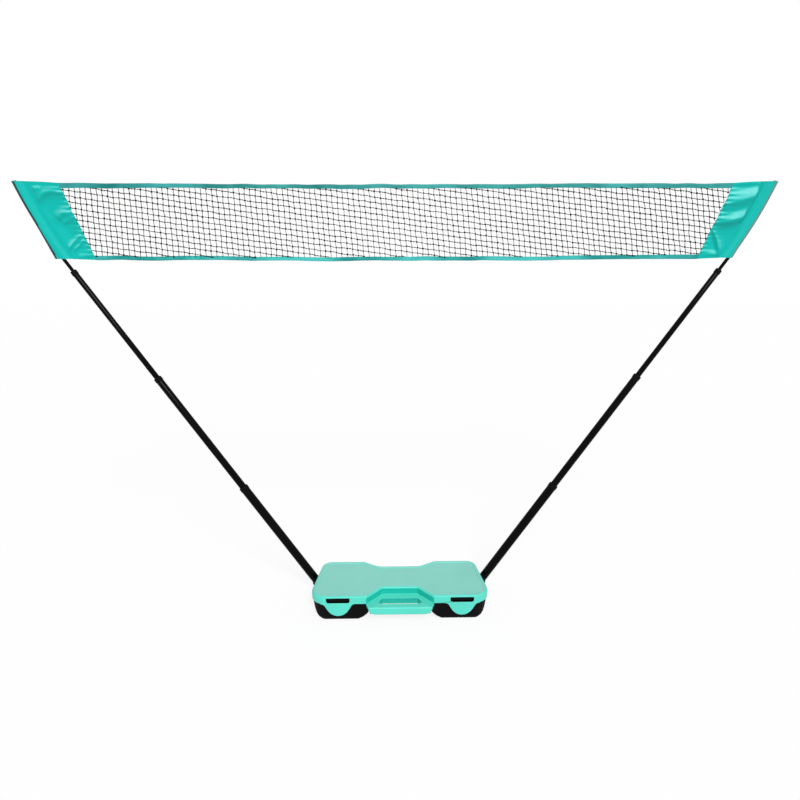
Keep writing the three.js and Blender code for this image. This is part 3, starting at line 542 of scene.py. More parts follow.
def rubbed_edges():
    """Mask of outward edges, broken up as handling rubs them."""
    group, wire, entry, leave = effect("Rubbed edges", {"Start": 0.52, "Amount": 0.5, "Steepness": 12.0},
                                       ("Mask",))
    sharpness = wire.add("ShaderNodeNewGeometry").outputs["Pointiness"]
    above = wire.math("SUBTRACT", sharpness, entry["Start"])
    steep = wire.math("MULTIPLY", above, entry["Steepness"])
    broken = wire.math("MULTIPLY", steep, wire.cloud(wire.place(), 60.0, 6.0))
    wire.feed(leave, {"Mask": wire.clamped(wire.math("MULTIPLY", broken, entry["Amount"]))})
    return group


def plain_weave():
    """Crossing threads of a woven cloth in the net's plane: a height, and a shade for the gaps."""
    group, wire, entry, leave = effect("Plain weave", {"Threads": 1600.0, "Depth": 0.00008},
                                       ("Height", "Shade"))
    parts = wire.add("ShaderNodeSeparateXYZ", {0: wire.place()}).outputs
    turns = wire.math("MULTIPLY", entry["Threads"], 2 * math.pi)
    warp, weft = [wire.math("SINE", wire.math("MULTIPLY", parts[axis], turns)) for axis in ("X", "Z")]
    crossing = wire.math("MULTIPLY", warp, weft)
    wire.feed(leave, {"Height": wire.math("MULTIPLY", crossing, entry["Depth"]),
                      "Shade": wire.math("MULTIPLY", wire.math("ADD", crossing, 1.0), 0.5)})
    return group


def drawn_streaks():
    """Fine streaks along a piece's own Z, as drawing and sliding leave on a tube."""
    group, wire, entry, leave = effect(
        "Drawn streaks", {"Across": 700.0, "Along": 9.0, "Roughness": 0.2, "Spread": 0.12},
        ("Height", "Roughness"))
    parts = wire.add("ShaderNodeSeparateXYZ", {0: wire.place()}).outputs
    scales = (entry["Across"], entry["Across"], entry["Along"])
    drawn = {index: wire.math("MULTIPLY", parts[index], scale) for index, scale in enumerate(scales)}
    streak = wire.cloud(wire.add("ShaderNodeCombineXYZ", drawn).outputs[0], 1.0, 4.0)
    wire.feed(leave, {"Height": streak, "Roughness": wire.swung(entry["Roughness"], streak, entry["Spread"])})
    return group


EFFECTS = {}


def effect_node(wire, make, inputs):
    """Places a shared effect in a material, building its group the first time. Returns its outputs."""
    if make.__name__ not in EFFECTS:
        EFFECTS[make.__name__] = make()
    return wire.add("ShaderNodeGroup", inputs, node_tree=EFFECTS[make.__name__]).outputs


# Finishes


def rgba(tint, factor=1.0):
    """A property's colour as four numbers, made lighter or darker by a factor."""
    return (*[min(part * factor, 1.0) for part in tint], 1.0)


def new_finish(name, **plain):
    """A material with one Principled shader. Values that are the same all over go on its own sockets."""
    material = bpy.data.materials.new(name)
    material.use_nodes = True
    shader = material.node_tree.nodes["Principled BSDF"]
    for socket, value in plain.items():
        shader.inputs[socket.replace("_", " ")].default_value = value
    return material, Wiring(material.node_tree), shader


def drift_node(wire, first, second, scale, contrast):
    """Slow drift between two colours. Returns its colour and its mask."""
    drift = effect_node(wire, tone_drift, {"First": first, "Second": second, "Scale": scale,
                                           "Contrast": contrast})
    return drift["Color"], drift["Mask"]


def surfaced(wire, shader, colour, roughness, height, strength=1.0, distance=1.0):
    """Feeds a shader its colour, its roughness, and its normal from a height."""
    relief = wire.add("ShaderNodeBump", {"Height": height, "Strength": strength, "Distance": distance})
    wire.feed(shader, {"Base Color": colour, "Roughness": roughness, "Normal": relief.outputs["Normal"]})


def moulded_plastic(name, tint, roughness, grain, rub=0.25, rub_tone=0.12, **plain):
    """Moulded plastic: drifting tone, fine grain and lighter rubbed edges."""
    material, wire, shader = new_finish(name, **plain)
    tone, _ = drift_node(wire, rgba(tint, 1.03), rgba(tint, 0.95), scale=7.0, contrast=2.2)
    edges = effect_node(wire, rubbed_edges, {"Start": 0.515, "Amount": rub})
    worn = wire.mixed(edges["Mask"], tone, rgba([part + rub_tone for part in tint]))
    surface = effect_node(wire, moulded_grain, {"Depth": grain, "Roughness": roughness})
    surfaced(wire, shader, worn, surface["Roughness"], surface["Height"])
    return material


def drawn_tube(name, tint, roughness, **plain):
    """Lacquered tube: near black, with fine streaks along it."""
    material, wire, shader = new_finish(name, **plain)
    tone, _ = drift_node(wire, rgba(tint, 1.25), rgba(tint, 0.8), scale=9.0, contrast=2.5)
    streaks = effect_node(wire, drawn_streaks, {"Roughness": roughness})
    surfaced(wire, shader, tone, streaks["Roughness"], streaks["Height"], strength=0.2, distance=0.0002)
    return material


def pin_steel(tint):
    """Bright drawn steel of the hinge and latch pins."""
    material, wire, shader = new_finish("Pin steel", Metallic=1.0)
    tone, _ = drift_node(wire, rgba(tint), rgba(tint, 0.75), scale=40.0, contrast=2.0)
    surface = effect_node(wire, moulded_grain, {"Scale": 500.0, "Depth": 0.00003, "Roughness": 0.32})
    surfaced(wire, shader, tone, surface["Roughness"], surface["Height"])
    return material


def painted_sheen_facing_up(wire, tone, mask, painted_sheen, start=0.17, full=0.58, drift=0.12):
    """Painted sheen: a paler tone mixed into the satin where it faces up, as along the upper side of a fold,
    standing in for the light caught there.
    """
    normal = wire.add("ShaderNodeNewGeometry").outputs["Normal"]
    upward = wire.add("ShaderNodeSeparateXYZ", {0: normal}).outputs["Z"]
    uneven = wire.math("ADD", upward, wire.math("MULTIPLY", mask, drift))
    amount = wire.add("ShaderNodeMapRange", {0: uneven, 1: start, 2: full}, interpolation_type="SMOOTHSTEP")
    return wire.mixed(amount.outputs[0], tone, painted_sheen)


def woven_cloth(name, first, second, roughness, scale, contrast, painted_sheen=None, **plain):
    """Woven polyester: two tones that drift, and the threads of its weave, darker in their gaps. When given, a
    painted sheen makes it paler where it faces up.
    """
    material, wire, shader = new_finish(name, **plain)
    tone, mask = drift_node(wire, first, second, scale, contrast)
    if painted_sheen is not None:
        tone = painted_sheen_facing_up(wire, tone, mask, painted_sheen)
    weave = effect_node(wire, plain_weave, {})
    shade = wire.add("ShaderNodeMapRange", {0: weave["Shade"], 3: 0.93, 4: 1.03}).outputs[0]
    surface = effect_node(wire, moulded_grain, {"Scale": 300.0, "Roughness": roughness, "Spread": 0.2})
    surfaced(wire, shader, wire.mixed(1.0, tone, shade, "MULTIPLY"), surface["Roughness"], weave["Height"],
             strength=0.6)
    return material


def twine_finish(name, tint, roughness):
    """Twisted thread: a matt fibre with small light and dark plies."""
    material, wire, shader = new_finish(name, Specular_IOR_Level=0.1)
    tone, _ = drift_node(wire, rgba(tint, 1.5), rgba(tint, 0.6), scale=420.0, contrast=3.0)
    surface = effect_node(wire, moulded_grain, {"Scale": 2500.0, "Depth": 0.0001, "Roughness": roughness})
    surfaced(wire, shader, tone, surface["Roughness"], surface["Height"])
    return material


def dress(piece, *materials):
    """Gives a piece its materials."""
    piece.data.materials.clear()
    for material in materials:
        piece.data.materials.append(material)


# Stage


def seen_in_picture(wire):
    """1 where the camera sees a surface, by itself, in a reflection or through glass, and 0 elsewhere."""
    path = wire.add("ShaderNodeLightPath").outputs
    seen = wire.math("MAXIMUM", path["Is Camera Ray"], path["Is Glossy Ray"])
    return wire.math("MAXIMUM", seen, path["Is Transmission Ray"])


def white_background(tree, settings):
    """World: white where the camera or a reflection sees it, and a plain light level elsewhere."""
    wire = Wiring(tree)
    tree.nodes.clear()
    strength = wire.add("ShaderNodeMapRange", {0: seen_in_picture(wire), 3: settings.sky, 4: 1.0}).outputs[0]
    light = wire.add("ShaderNodeBackground", {"Color": (1, 1, 1, 1), "Strength": strength})
    wire.add("ShaderNodeOutputWorld", {"Surface": light.outputs[0]})


def floor_finish(settings):
    """Pale floor that stays white in the picture and keeps a soft shadow."""
    material = bpy.data.materials.new("Pale floor")
    material.use_nodes = True
    material.node_tree.nodes.clear()
    wire = Wiring(material.node_tree)
    glow = wire.add("ShaderNodeEmission", {"Color": (1, 1, 1, 1), "Strength": settings.glow})
    matt = wire.add("ShaderNodeBsdfDiffuse", {"Color": rgba(settings.floor_tone)})
    amount = wire.math("MULTIPLY", seen_in_picture(wire), settings.floor_white)
    blend = wire.add("ShaderNodeMixShader", {0: amount, 1: matt.outputs[0], 2: glow.outputs[0]})
    wire.add("ShaderNodeOutputMaterial", {"Surface": blend.outputs[0]})
    return material


class NETSET_OT_stage(bpy.types.Operator):
    """Makes the floor, the lamps and the camera"""

    bl_idname = "netset.stage"
    bl_label = "Stage"

    def execute(self, context):
        settings = context.scene.net_set_stage
        half = settings.floor_size
        floor_mesh = bpy.data.meshes.new("floor")
        corners = [(-half, -half, 0), (half, -half, 0), (half, half, 0), (-half, half, 0)]
        floor_mesh.from_pydata(corners, [], [(0, 1, 2, 3)])
        floor_mesh.materials.append(floor_finish(settings))
        self.set_up("floor", floor_mesh)

        context.scene.world = bpy.data.worlds.new("Even light")
        context.scene.world.use_nodes = True
        white_background(context.scene.world.node_tree, settings)

        lamp = bpy.data.lights.new("Key", "SUN")
        lamp.energy = settings.sun
        lamp.angle = settings.sun_size
        self.set_up("Key", lamp).rotation_euler = (math.pi / 2 - settings.sun_height, 0, settings.sun_turn)

        camera_data = bpy.data.cameras.new("Camera")
        camera_data.lens = settings.lens
        camera_data.sensor_width = settings.sensor
        camera = self.set_up("Camera", camera_data)
        turn = Matrix.Rotation(-settings.yaw, 4, "Z") @ Matrix.Rotation(math.pi / 2 - settings.pitch, 4, "X")
        turn = turn @ Matrix.Rotation(settings.roll, 4, "Z")
        camera.matrix_world = Matrix.Translation(settings.eye) @ turn
        context.scene.camera = camera
        context.scene.view_settings.view_transform = "Standard"
        return {"FINISHED"}

    def set_up(self, name, data):
        """A new object of the stage, linked into the scene."""
        item = bpy.data.objects.new(name, data)
        bpy.context.scene.collection.objects.link(item)
        return item


# Case


LEVEL = 0.99  # a face counts as level where its normal's Z is above this
UPRIGHT = 0.3  # and as upright where it is below this
BLACK_SHINE = 0.06  # specular level of the black finishes
BLACK_RUB = 0.02  # how much handling shows on their edges


class NETSET_OT_lid(bpy.types.Operator):
    """Makes the turquoise lid with its sunken field, handle and latch tongues"""

    bl_idname = "netset.lid"
    bl_label = "Lid"

    def execute(self, context):
        settings = context.scene.net_set_case
        lid = moulded_copy("lid_moulding", "case_lid", settings.edge, settings.edge_steps, "lid",
                           "turquoise_plastic")
        dress(lid,
              moulded_plastic("Turquoise shell", settings.shell, roughness=0.42, grain=settings.grain),
              moulded_plastic("Turquoise field", settings.field, roughness=0.55, grain=settings.grain * 2),
              # The recess finish carries painted shade.
              moulded_plastic("Turquoise recess", settings.recess, roughness=0.45, grain=settings.grain))
        low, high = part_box("case_lid")
        for face in lid.data.polygons:
            if face.normal.z > LEVEL and face.center.z > high.z - settings.field_depth:
                face.material_index = 1
            # Front-facing walls round the handle get the recess finish, a painted shade.
            between = settings.recess_near < face.center.y - low.y < settings.recess_far
            if between and abs(face.center.x) < settings.recess_half:
                if abs(face.normal.z) < UPRIGHT and face.normal.y < -UPRIGHT:
                    face.material_index = 2
        return {"FINISHED"}


class NETSET_OT_base(bpy.types.Operator):
    """Makes the black tray with its two rounded feet"""

    bl_idname = "netset.base"
    bl_label = "Base"

    def execute(self, context):
        settings = context.scene.net_set_case
        base = moulded_copy("base_moulding", "case_base", settings.edge, settings.edge_steps, "case",
                            "black_plastic")
        dress(base, moulded_plastic("Black shell", settings.base, roughness=0.42, grain=settings.grain * 1.5,
                                    rub=BLACK_RUB, Specular_IOR_Level=BLACK_SHINE))
        return {"FINISHED"}


class NETSET_OT_fittings(bpy.types.Operator):
    """Finishes the hinge pins, latch tabs, latch pins, bushes and plugs"""

    bl_idname = "netset.fittings"
    bl_label = "Fittings"

    def execute(self, context):
        settings = context.scene.net_set_pole
        case = context.scene.net_set_case
        steel = pin_steel(settings.steel)
        black = moulded_plastic("Fitting black", settings.fitting, roughness=0.4, grain=case.grain,
                                rub=BLACK_RUB, Specular_IOR_Level=BLACK_SHINE)
        tab_edge = case.edge / 3
        for side in SIDES:
            for pin in (f"hinge_pin_{side}", f"latch_pin_{side}"):
                dress(smoothed(frame["nodes"][pin], ROUND_EDGE), steel)
            tab = moulded_copy(f"{side}_latch_leaf", f"latch_tab_{side}", tab_edge, case.edge_steps,
                               f"latch_{side}", "black_plastic")
            dress(tab, black)
            for node in (f"{side}_bush_2", f"{side}_bush_3", f"{side}_rod_bush", f"{side}_foot_plug"):
                dress(smoothed(frame["nodes"][node], ROUND_EDGE), black)
        return {"FINISHED"}


# Poles


COLLAR_ROOM_SHARE = 0.8  # most of a collar's wall that the rounding of its mouth may take


class NETSET_OT_poles(bpy.types.Operator):
    """Makes the telescopic tubes and their collars"""

    bl_idname = "netset.poles"
    bl_label = "Poles"

    def execute(self, context):
        settings = context.scene.net_set_pole
        lacquer = drawn_tube("Gloss black tube", settings.black, roughness=0.17,
                             Specular_IOR_Level=BLACK_SHINE)
        black = bpy.data.materials["Fitting black"]
        for side in SIDES:
            for section, body in enumerate(("case", f"{side}_tube_2", f"{side}_tube_3"), 1):
                dress(self.tube(side, section, body, settings), lacquer)
                dress(self.collar(side, section, body, settings), black)
        return {"FINISHED"}

    def tube(self, side, section, body, settings):
        node = f"{side}_tube_{section}"
        low, high, inner, outer = span_on_pole(node, side)
        rim = settings.rim
        cut = rim / 3
        profile = [(inner, low), (outer - rim, low), (outer, low + rim), (outer, high - rim),
                   (outer - cut, high - cut), (outer - rim, high), (inner, high)]
        return lathed(f"{node}_drawn", profile, settings.sides, pole_matrix(side), body, "black_tube", node)

    def collar(self, side, section, body, settings, steps=6):
        """A collar: it grips its tube's mouth and rounds in towards the next tube."""
        node = f"{side}_collar_{section}"
        low, high, inner, outer = span_on_pole(node, side)
        _, tube_top, _, tube_outer = span_on_pole(f"{side}_tube_{section}", side)
        bore = tube_outer + settings.fit
        lip = tube_top + settings.fit
        mouth = min(settings.mouth, (outer - inner) * COLLAR_ROOM_SHARE)
        profile = [(bore, low), (outer - settings.rim, low), (outer, low + settings.rim)]
        for step in range(steps + 1):
            turn = math.pi / 2 * step / steps
            rise = (high - tube_top) * math.sin(turn)
            profile.append((outer - mouth * (1 - math.cos(turn)), tube_top + rise))
        profile += [(inner, high), (inner, lip), (bore, lip)]
        return lathed(f"{node}_mouth", profile, settings.sides, pole_matrix(side), body, "black_plastic",
                      node)


class NETSET_OT_rods(bpy.types.Operator):
    """Makes the bent top rods and their tip caps"""

    bl_idname = "netset.rods"
    bl_label = "Top rods"

    def execute(self, context):
        settings = context.scene.net_set_pole
        fibre = drawn_tube("Glass fibre", settings.black, roughness=0.26, Specular_IOR_Level=BLACK_SHINE)
        black = bpy.data.materials["Fitting black"]
        for side in SIDES:
            line = rod_line(side, settings)
            rod = self.bar(side, "rod_fibre", line, (settings.rod_end, settings.rod_end), "top_rod",
                           "glass_fibre", settings)
            dress(smoothed(rod, ROUND_EDGE), fibre)
            cap_node = f"{side}_tip_cap"
            cap_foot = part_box(cap_node)[0].z + half_depth(cap_node) / 2
            capped = [point for point in line if point.z > cap_foot]
            capped.append(capped[-1] + (capped[-1] - capped[-2]).normalized() * settings.cap_crown)
            cap = self.bar(side, "rod_cap", capped, (settings.cap_mouth, settings.cap_end), "tip_cap",
                           "black_plastic", settings)
            dress(smoothed(cap, CAP_EDGE), black)
        return {"FINISHED"}

    def bar(self, side, name, line, end_shares, node, slot, settings):
        """A round bar along a line, as thick as its node and drawn in at its ends."""
        radius = half_depth(f"{side}_{node}")
        radii = [radius * end_shares[0]] + [radius] * (len(line) - 2) + [radius * end_shares[1]]
        vertices, faces = swept(line, radii, settings.sides // 2)
        return mesh_piece(f"{side}_{name}", vertices, faces, f"{side}_rod", slot, f"{side}_{node}")


# Panels


class NetShape:
    """Edges of the net, read from the frame."""

    def __init__(self, net):
        head_low, head_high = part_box("top_tape")
        foot_low, foot_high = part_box("bottom_tape")
        self.sag = net.sag
        self.plane = (head_low.y + head_high.y) / 2
        self.head = head_high.z - net.drop
        self.foot = foot_low.z + net.sag - net.drop
        self.head_half = head_high.x
        self.slope = (self.head_half - foot_high.x) / (self.head - foot_high.z)

    def half_width(self, height):
        """Half the net's width at a height, before it sags."""
        return self.head_half - self.slope * (self.head - height)

    def dip(self, across, height):
        """How far the net hangs down at a place."""
        reach = across / self.half_width(height)
        return self.sag * (1 - reach * reach)


# Each crease: its places, as shares of the way from the netting to the outer edge and from the foot to the
# head, then how far it stands out and how wide it is
CREASES = {
    "left": [
        ([(0.66, 0.74), (0.46, 0.84), (0.24, 0.88), (0.02, 0.85)], 0.0100, 0.021),
        ([(0.42, 0.52), (0.24, 0.60), (0.02, 0.58)], 0.0120, 0.019),
        ([(0.34, 0.46), (0.20, 0.51), (0.05, 0.52)], 0.0070, 0.013),
        ([(0.62, 0.08), (0.38, 0.20), (0.08, 0.31)], 0.0072, 0.0095),
        ([(0.42, 0.11), (0.25, 0.17), (0.06, 0.25)], 0.0058, 0.0085),
        ([(0.40, 0.02), (0.05, 0.045)], 0.0065, 0.010),
        ([(0.93, 0.50), (0.84, 0.42), (0.78, 0.33)], 0.0070, 0.010),
        ([(0.99, 0.94), (0.70, 0.90), (0.45, 0.91)], 0.0060, 0.012),
    ],
    "right": [
        ([(0.0, 0.985), (0.45, 0.99), (0.80, 1.0)], 0.0130, 0.020),
        ([(0.0, 0.71), (0.30, 0.74), (0.62, 0.82), (0.95, 0.95)], 0.0225, 0.038),
        ([(0.0, 0.475), (0.34, 0.485), (0.62, 0.55), (0.92, 0.70)], 0.0220, 0.032),
        ([(0.03, 0.38), (0.26, 0.25), (0.52, 0.07)], 0.0110, 0.011),
        ([(0.0, 0.05), (0.35, 0.045), (0.70, 0.04)], 0.0085, 0.010),
        ([(0.98, 0.80), (0.94, 0.50), (0.90, 0.20)], 0.0060, 0.016),
    ],
}
STEEP_SIDE_SHARE = 0.55  # width of a crease's lower side, against its upper side
CREASE_END_SHARE = 0.35  # height of a crease at its ends, against its middle
CREASE_CROWN = 1.6  # how flat a crease is along its top, as a power
HEM_CREASE_SHARE = 0.45  # height of a crease at a hem, against the open cloth
NET_CREASE_SHARE = 0.55  # height of a crease at the netting, against the open cloth
SLEEVE_CALM_SHARE = 0.22  # share of the cloth's width, beside the sleeve, in which the creases rise
HOLLOW_CALM_SHARE = 0.6  # share of the cloth's width, beside the sleeve, in which the hollow sinks
HEM_CALM = 0.035  # distance from a hem in which the creases rise
NET_CALM = 0.03  # distance from the netting in which the creases rise
GATHER_RUN = 0.016  # distance from the netting in which its gathers die away
TAPE_CALM = 0.02  # distance from the tapes' ends in which the cloth stays in the net's plane
DRIFT, DRIFT_SCALE = 0.0016, 16  # unevenness of the open cloth, and how many swells it has in a metre
DRIFT_LAYER = 3.0  # layer of the noise that the unevenness of a side is taken from
HEM_LAYERS = 2.2  # thickness of a folded hem, in cloths
SLEEVE_TURN_SHARE = 1.6  # how the cloth's points crowd towards the sleeve's outer edge
SLEEVE_CROWN = 0.75  # how full the sleeve is outside its rod, as a power
SEAM_GAP = 1.2  # between the sleeve's two layers at its seam, in cloths

STITCH_SHARES = (0.15, 0.5, 0.85)  # where a stitch comes up, stands and goes down, in its pitch
STITCH_END_SHARE = 0.7  # radius of a stitch's ends, against its middle
SEAM_CLOTHS, SEAM_SHARE = 1.15, 0.3  # how far a panel's stitches stand out, in cloths and in stitch radii


def smooth_share(value):
    """A share from nought to one that leaves both ends gently."""
    value = max(0.0, min(1.0, value))
    return value * value * (3 - 2 * value)


def rounded_line(points, times=3):
    """The points of a line with its corners cut, over and over."""
    for _ in range(times):
        cut = [points[0]]
        for start, end in zip(points, points[1:]):
            cut += [start.lerp(end, 0.25), start.lerp(end, 0.75)]
        points = cut + [points[-1]]
    return points


def crease_depth(place, creases):
    """How far the cloth stands out at a place in the panel's plane, from rounded ridges along creases."""
    depth = 0.0
    for points, height, width in creases:
        nearest, progress, above = 1.0, 0.0, 0.0
        for index, (start, end) in enumerate(zip(points, points[1:])):
            run = end - start
            along = max(0.0, min(1.0, (place - start).dot(run) / run.length_squared))
            offset = place - start - run * along
            if offset.length < nearest:
                nearest = offset.length
                progress = (index + along) / (len(points) - 1)
                above = math.copysign(1, run.x) * run.cross(offset) / max(run.length * nearest, 1e-9)
        fade = CREASE_END_SHARE + (1 - CREASE_END_SHARE) * math.sqrt(math.sin(math.pi * progress))
        reach = width * (STEEP_SIDE_SHARE + (1 - STEEP_SIDE_SHARE) * (1 + above) / 2)
        depth += height * fade * math.exp(-((nearest / reach) ** CREASE_CROWN))
    return depth


def stitched(name, paths, size, sides, body):
    """Stitches of thread along paths of three points each."""
    vertices, faces = [], []
    for path in paths:
        ends = size * STITCH_END_SHARE
        more, rings = swept(path, [ends, size, ends], sides, len(vertices))
        vertices += more
        faces += rings
    return smoothed(mesh_piece(name, vertices, faces, body, "turquoise_fabric"), CLOTH_EDGE)


class PanelShape:
    """Edges, sleeve and creases of one end panel, read from the frame."""

    def __init__(self, side, net, rod, settings):
        self.side = side
        self.sign = SIDES[side]
        self.net = net
        self.settings = settings
        self.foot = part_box(f"net_panel_{side}")[0].z
        self.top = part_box(f"{side}_tip_cap")[1].z - settings.tip_shown
        self.bore = half_depth(f"{side}_tip_cap") + settings.sleeve_room
        self.reach = self.bore + settings.cloth + settings.sleeve_edge
        self.rod_heights = [point.z for point in rod]
        self.rod_across = [abs(point.x) for point in rod]
        self.foot_outer = self.rod_at(self.foot) + getattr(settings, f"{side}_foot")
        self.head_outer = self.rod_at(self.top) + self.reach
        self.creases = []
        for shares, height, width in CREASES[side]:
            self.creases.append((rounded_line([self.place(*share) for share in shares]), height, width))

    def rod_at(self, height):
        """How far out the rod's middle is at a height."""
        return float(np.interp(height, self.rod_heights, self.rod_across))

    def inner(self, height):
        """How far out the edge beside the netting is at a height."""
        return self.net.half_width(height) + self.settings.cloth

    def outer(self, height):
        """How far out the outer edge is at a height: straight, but always outside the rod."""
        up = (height - self.foot) / (self.top - self.foot)
        straight = self.foot_outer + (self.head_outer - self.foot_outer) * up
        wrapped = self.rod_at(height) + self.reach
        return (straight + wrapped + math.hypot(straight - wrapped, self.settings.sleeve_edge)) / 2

    def place(self, out, up):
        """A place in the panel's plane, from its shares of the panel's width and height."""
        height = self.foot + (self.top - self.foot) * up
        inner = self.inner(height)
        return Vector((inner + (self.outer(height) - inner) * out, height))

    def stand(self, across, z, beside, band, out):
        """How far the cloth stands out of the net's plane, calm at the sleeve and under the tapes."""
        settings = self.settings
        held = smooth_share((1 - out) / SLEEVE_CALM_SHARE)
        near = math.exp(-beside / NET_CALM)
        edge = HEM_CREASE_SHARE + (1 - HEM_CREASE_SHARE) * min(1.0, band / HEM_CALM)
        depth = crease_depth(Vector((across, z)), self.creases) * held * edge
        depth *= 1 - (1 - NET_CREASE_SHARE) * near
        up = min(1.0, band / settings.hollow_reach)
        depth -= settings.hollow * up * (2 - up) * (1 - near) * smooth_share((1 - out) / HOLLOW_CALM_SHARE)
        place = Vector((across * DRIFT_SCALE, z * DRIFT_SCALE, self.sign * DRIFT_LAYER))
        depth += noise.noise(place) * DRIFT * held
        wave = math.sin(2 * math.pi * z / settings.gather_pitch + self.sign)
        depth += settings.gather * math.exp(-beside / GATHER_RUN) * wave
        taped = 1 - min(1.0, max(band - settings.hem, 0.0) / TAPE_CALM)
        return depth * (1 - math.exp(-beside / TAPE_CALM) * taped)

    def bulge(self, across, seam, middle, outer):
        """How far the sleeve's cloth stands off its plane where it passes over the rod."""
        if across < middle:
            return self.bore * (1 - math.cos(math.pi * (across - seam) / (middle - seam))) / 2
        rise = max(0.0, (outer - across) / (outer - middle))
        return self.bore * math.sin(math.pi / 2 * rise) ** SLEEVE_CROWN

    def flat_row(self, up, seam, outer, columns):
        """Points of one row of the open cloth, from the netting to the sleeve, and its thickness at each."""
        net = self.net
        inner = self.inner(net.foot + (net.head - net.foot) * up)
        for column in range(columns + 1):
            out = column / columns
            across = inner + (seam - inner) * out
            near_net = (1 - (across - inner) / (outer - inner)) ** 2
            head = self.top + (net.head - self.top) * near_net
            hem = self.foot + (net.foot - self.foot) * near_net
            z = hem + (head - hem) * up
            band = max(0.0, min(z - hem, head - z))
            depth = self.stand(across, z, across - inner, band, out)
            layers = HEM_LAYERS if band < self.settings.hem else 1
            yield (self.sign * across, net.plane - depth, z), layers * self.settings.cloth

    def sleeve_row(self, z, seam, middle, outer, columns):
        """Points of one row round the sleeve, out over its front and back to the seam behind."""
        for step in range(1, 2 * columns + 1):
            turn = min(step, 2 * columns - step) / columns
            across = seam + (outer - seam) * (1 - (1 - turn) ** SLEEVE_TURN_SHARE)
            spread = self.bulge(across, seam, middle, outer) if turn else self.settings.cloth * SEAM_GAP
            yield self.sign * across, self.net.plane + (spread if step > columns else -spread), z


class NETSET_OT_panels(bpy.types.Operator):
    """Makes the satin end panels, with their sleeves, hems and seams"""

    bl_idname = "netset.panels"
    bl_label = "End panels"

    def execute(self, context):
        settings = context.scene.net_set_panel
        net = NetShape(context.scene.net_set_net)
        # The satin's paler tone on faces that look up is a painted sheen.
        satin = woven_cloth("Turquoise satin", rgba(settings.satin, 1.06), rgba(settings.satin, 0.92),
                            roughness=0.4, scale=7.0, contrast=1.6, painted_sheen=rgba(settings.painted_sheen),
                            Specular_IOR_Level=0.5, Specular_Tint=rgba(settings.gloss))
        thread = twine_finish("Seam thread", settings.stitch, roughness=0.6)
        for side in SIDES:
            shape = PanelShape(side, net, rod_line(side, context.scene.net_set_pole), settings)
            panel, seam = self.panel(shape, settings)
            # Each panel's outer edge strip gets its side's painted tone: painted shade on the left, painted
            # light on the right.
            edge = getattr(settings, f"{side}_binding")
            painted_edge = woven_cloth(f"{side.title()} edge binding", rgba(edge), rgba(edge, 0.8),
                                  roughness=0.5, scale=30.0, contrast=1.6, Specular_IOR_Level=0.3)
            dress(panel, satin, painted_edge)
            # The faces along the outer edge take the painted edge tone.
            for face in panel.data.polygons:
                if shape.outer(face.center.z) - abs(face.center.x) < settings.binding_width:
                    face.material_index = 1
            dress(seam, thread)
        return {"FINISHED"}

    def panel(self, shape, settings, rows=96, flat=64, sleeve=16, inset=3):
        """A panel with its sleeve, and the stitches along its seams and hems."""
        columns = flat + 2 * sleeve + 1
        grid = np.zeros((rows + 1, columns, 3))
        thick = np.full((rows + 1, columns), settings.cloth)
        for row in range(rows + 1):
            up = row / rows
            z = shape.foot + (shape.top - shape.foot) * up
            outer = shape.outer(z)
            middle = shape.rod_at(z)
            seam = min(middle - settings.sleeve_run, outer - settings.sleeve_band)
            for column, (point, cloth) in enumerate(shape.flat_row(up, seam, outer, flat)):
                grid[row, column] = point
                thick[row, column] = cloth
            grid[row, flat + 1:] = list(shape.sleeve_row(z, seam, middle, outer, sleeve))
        lines = [grid[:, flat - 1], grid[:, inset - 1], grid[inset, :flat], grid[rows - inset, :flat]]
        if shape.sign < 0:
            grid = grid[:, ::-1]
            thick = thick[:, ::-1]
        side = shape.side
        panel = cloth_piece(f"{side}_end_panel", grid, thick, f"{side}_rod", "turquoise_fabric",
                            f"net_panel_{side}")
        paths = [path for line in lines for path in self.seam(line, settings)]
        return panel, stitched(f"{side}_panel_stitching", paths, settings.stitch_size, sides=5,
                               body=f"{side}_rod")

    def seam(self, line, settings):
        """Paths of the stitches that stand on the front of the cloth along a line."""
        steps = np.linalg.norm(np.diff(line, axis=0), axis=1)
        lengths = np.concatenate([[0.0], np.cumsum(steps)])
        stand = settings.cloth * SEAM_CLOTHS + settings.stitch_size * SEAM_SHARE
        for stitch in range(int(lengths[-1] / settings.stitch_pitch)):
            path = []
            for part, dip in zip(STITCH_SHARES, (1, 0, 1)):
                along = (stitch + part) * settings.stitch_pitch
                place = Vector([float(np.interp(along, lengths, line[:, axis])) for axis in range(3)])
                place.y += settings.stitch_size * dip - stand
                path.append(place)
            yield path


# Tapes and netting


# Waves of a tape: swells in a metre, their layer of the noise, how far they stand out, how far they ride up
TAPE_WAVES = ((5, 0.5, 0.0026, 0.0022), (17, 4.5, 0.0012, -0.0016))
TAPE_END_CALM = 0.05  # distance from a tape's ends in which its waves rise
ROLL_SCALE, ROLL_LAYER = 6, 9.5  # the same for how far a tape is rolled up
ROLLED_SHARE = 0.84  # height of a tape in its middle, against its ends
ROLL_SPREAD_SHARE = 0.12  # how much that height swings
TAPE_GAPE = 2.4  # between a tape's fold and each of its layers, in cloths
TAPE_GAPE_LEAST, TAPE_GAPE_RISE = 0.25, 6  # share of that gape at the fold, and its rise along the way down
STITCH_STAND = 2.9  # between a tape's middle and its stitches, in cloths
STITCH_DOWN_SHARE = 0.84  # how far down from the fold a tape's stitches run


def slackens(piece, half):
    """Gives a piece its own copy of its mesh."""
    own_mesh(piece)


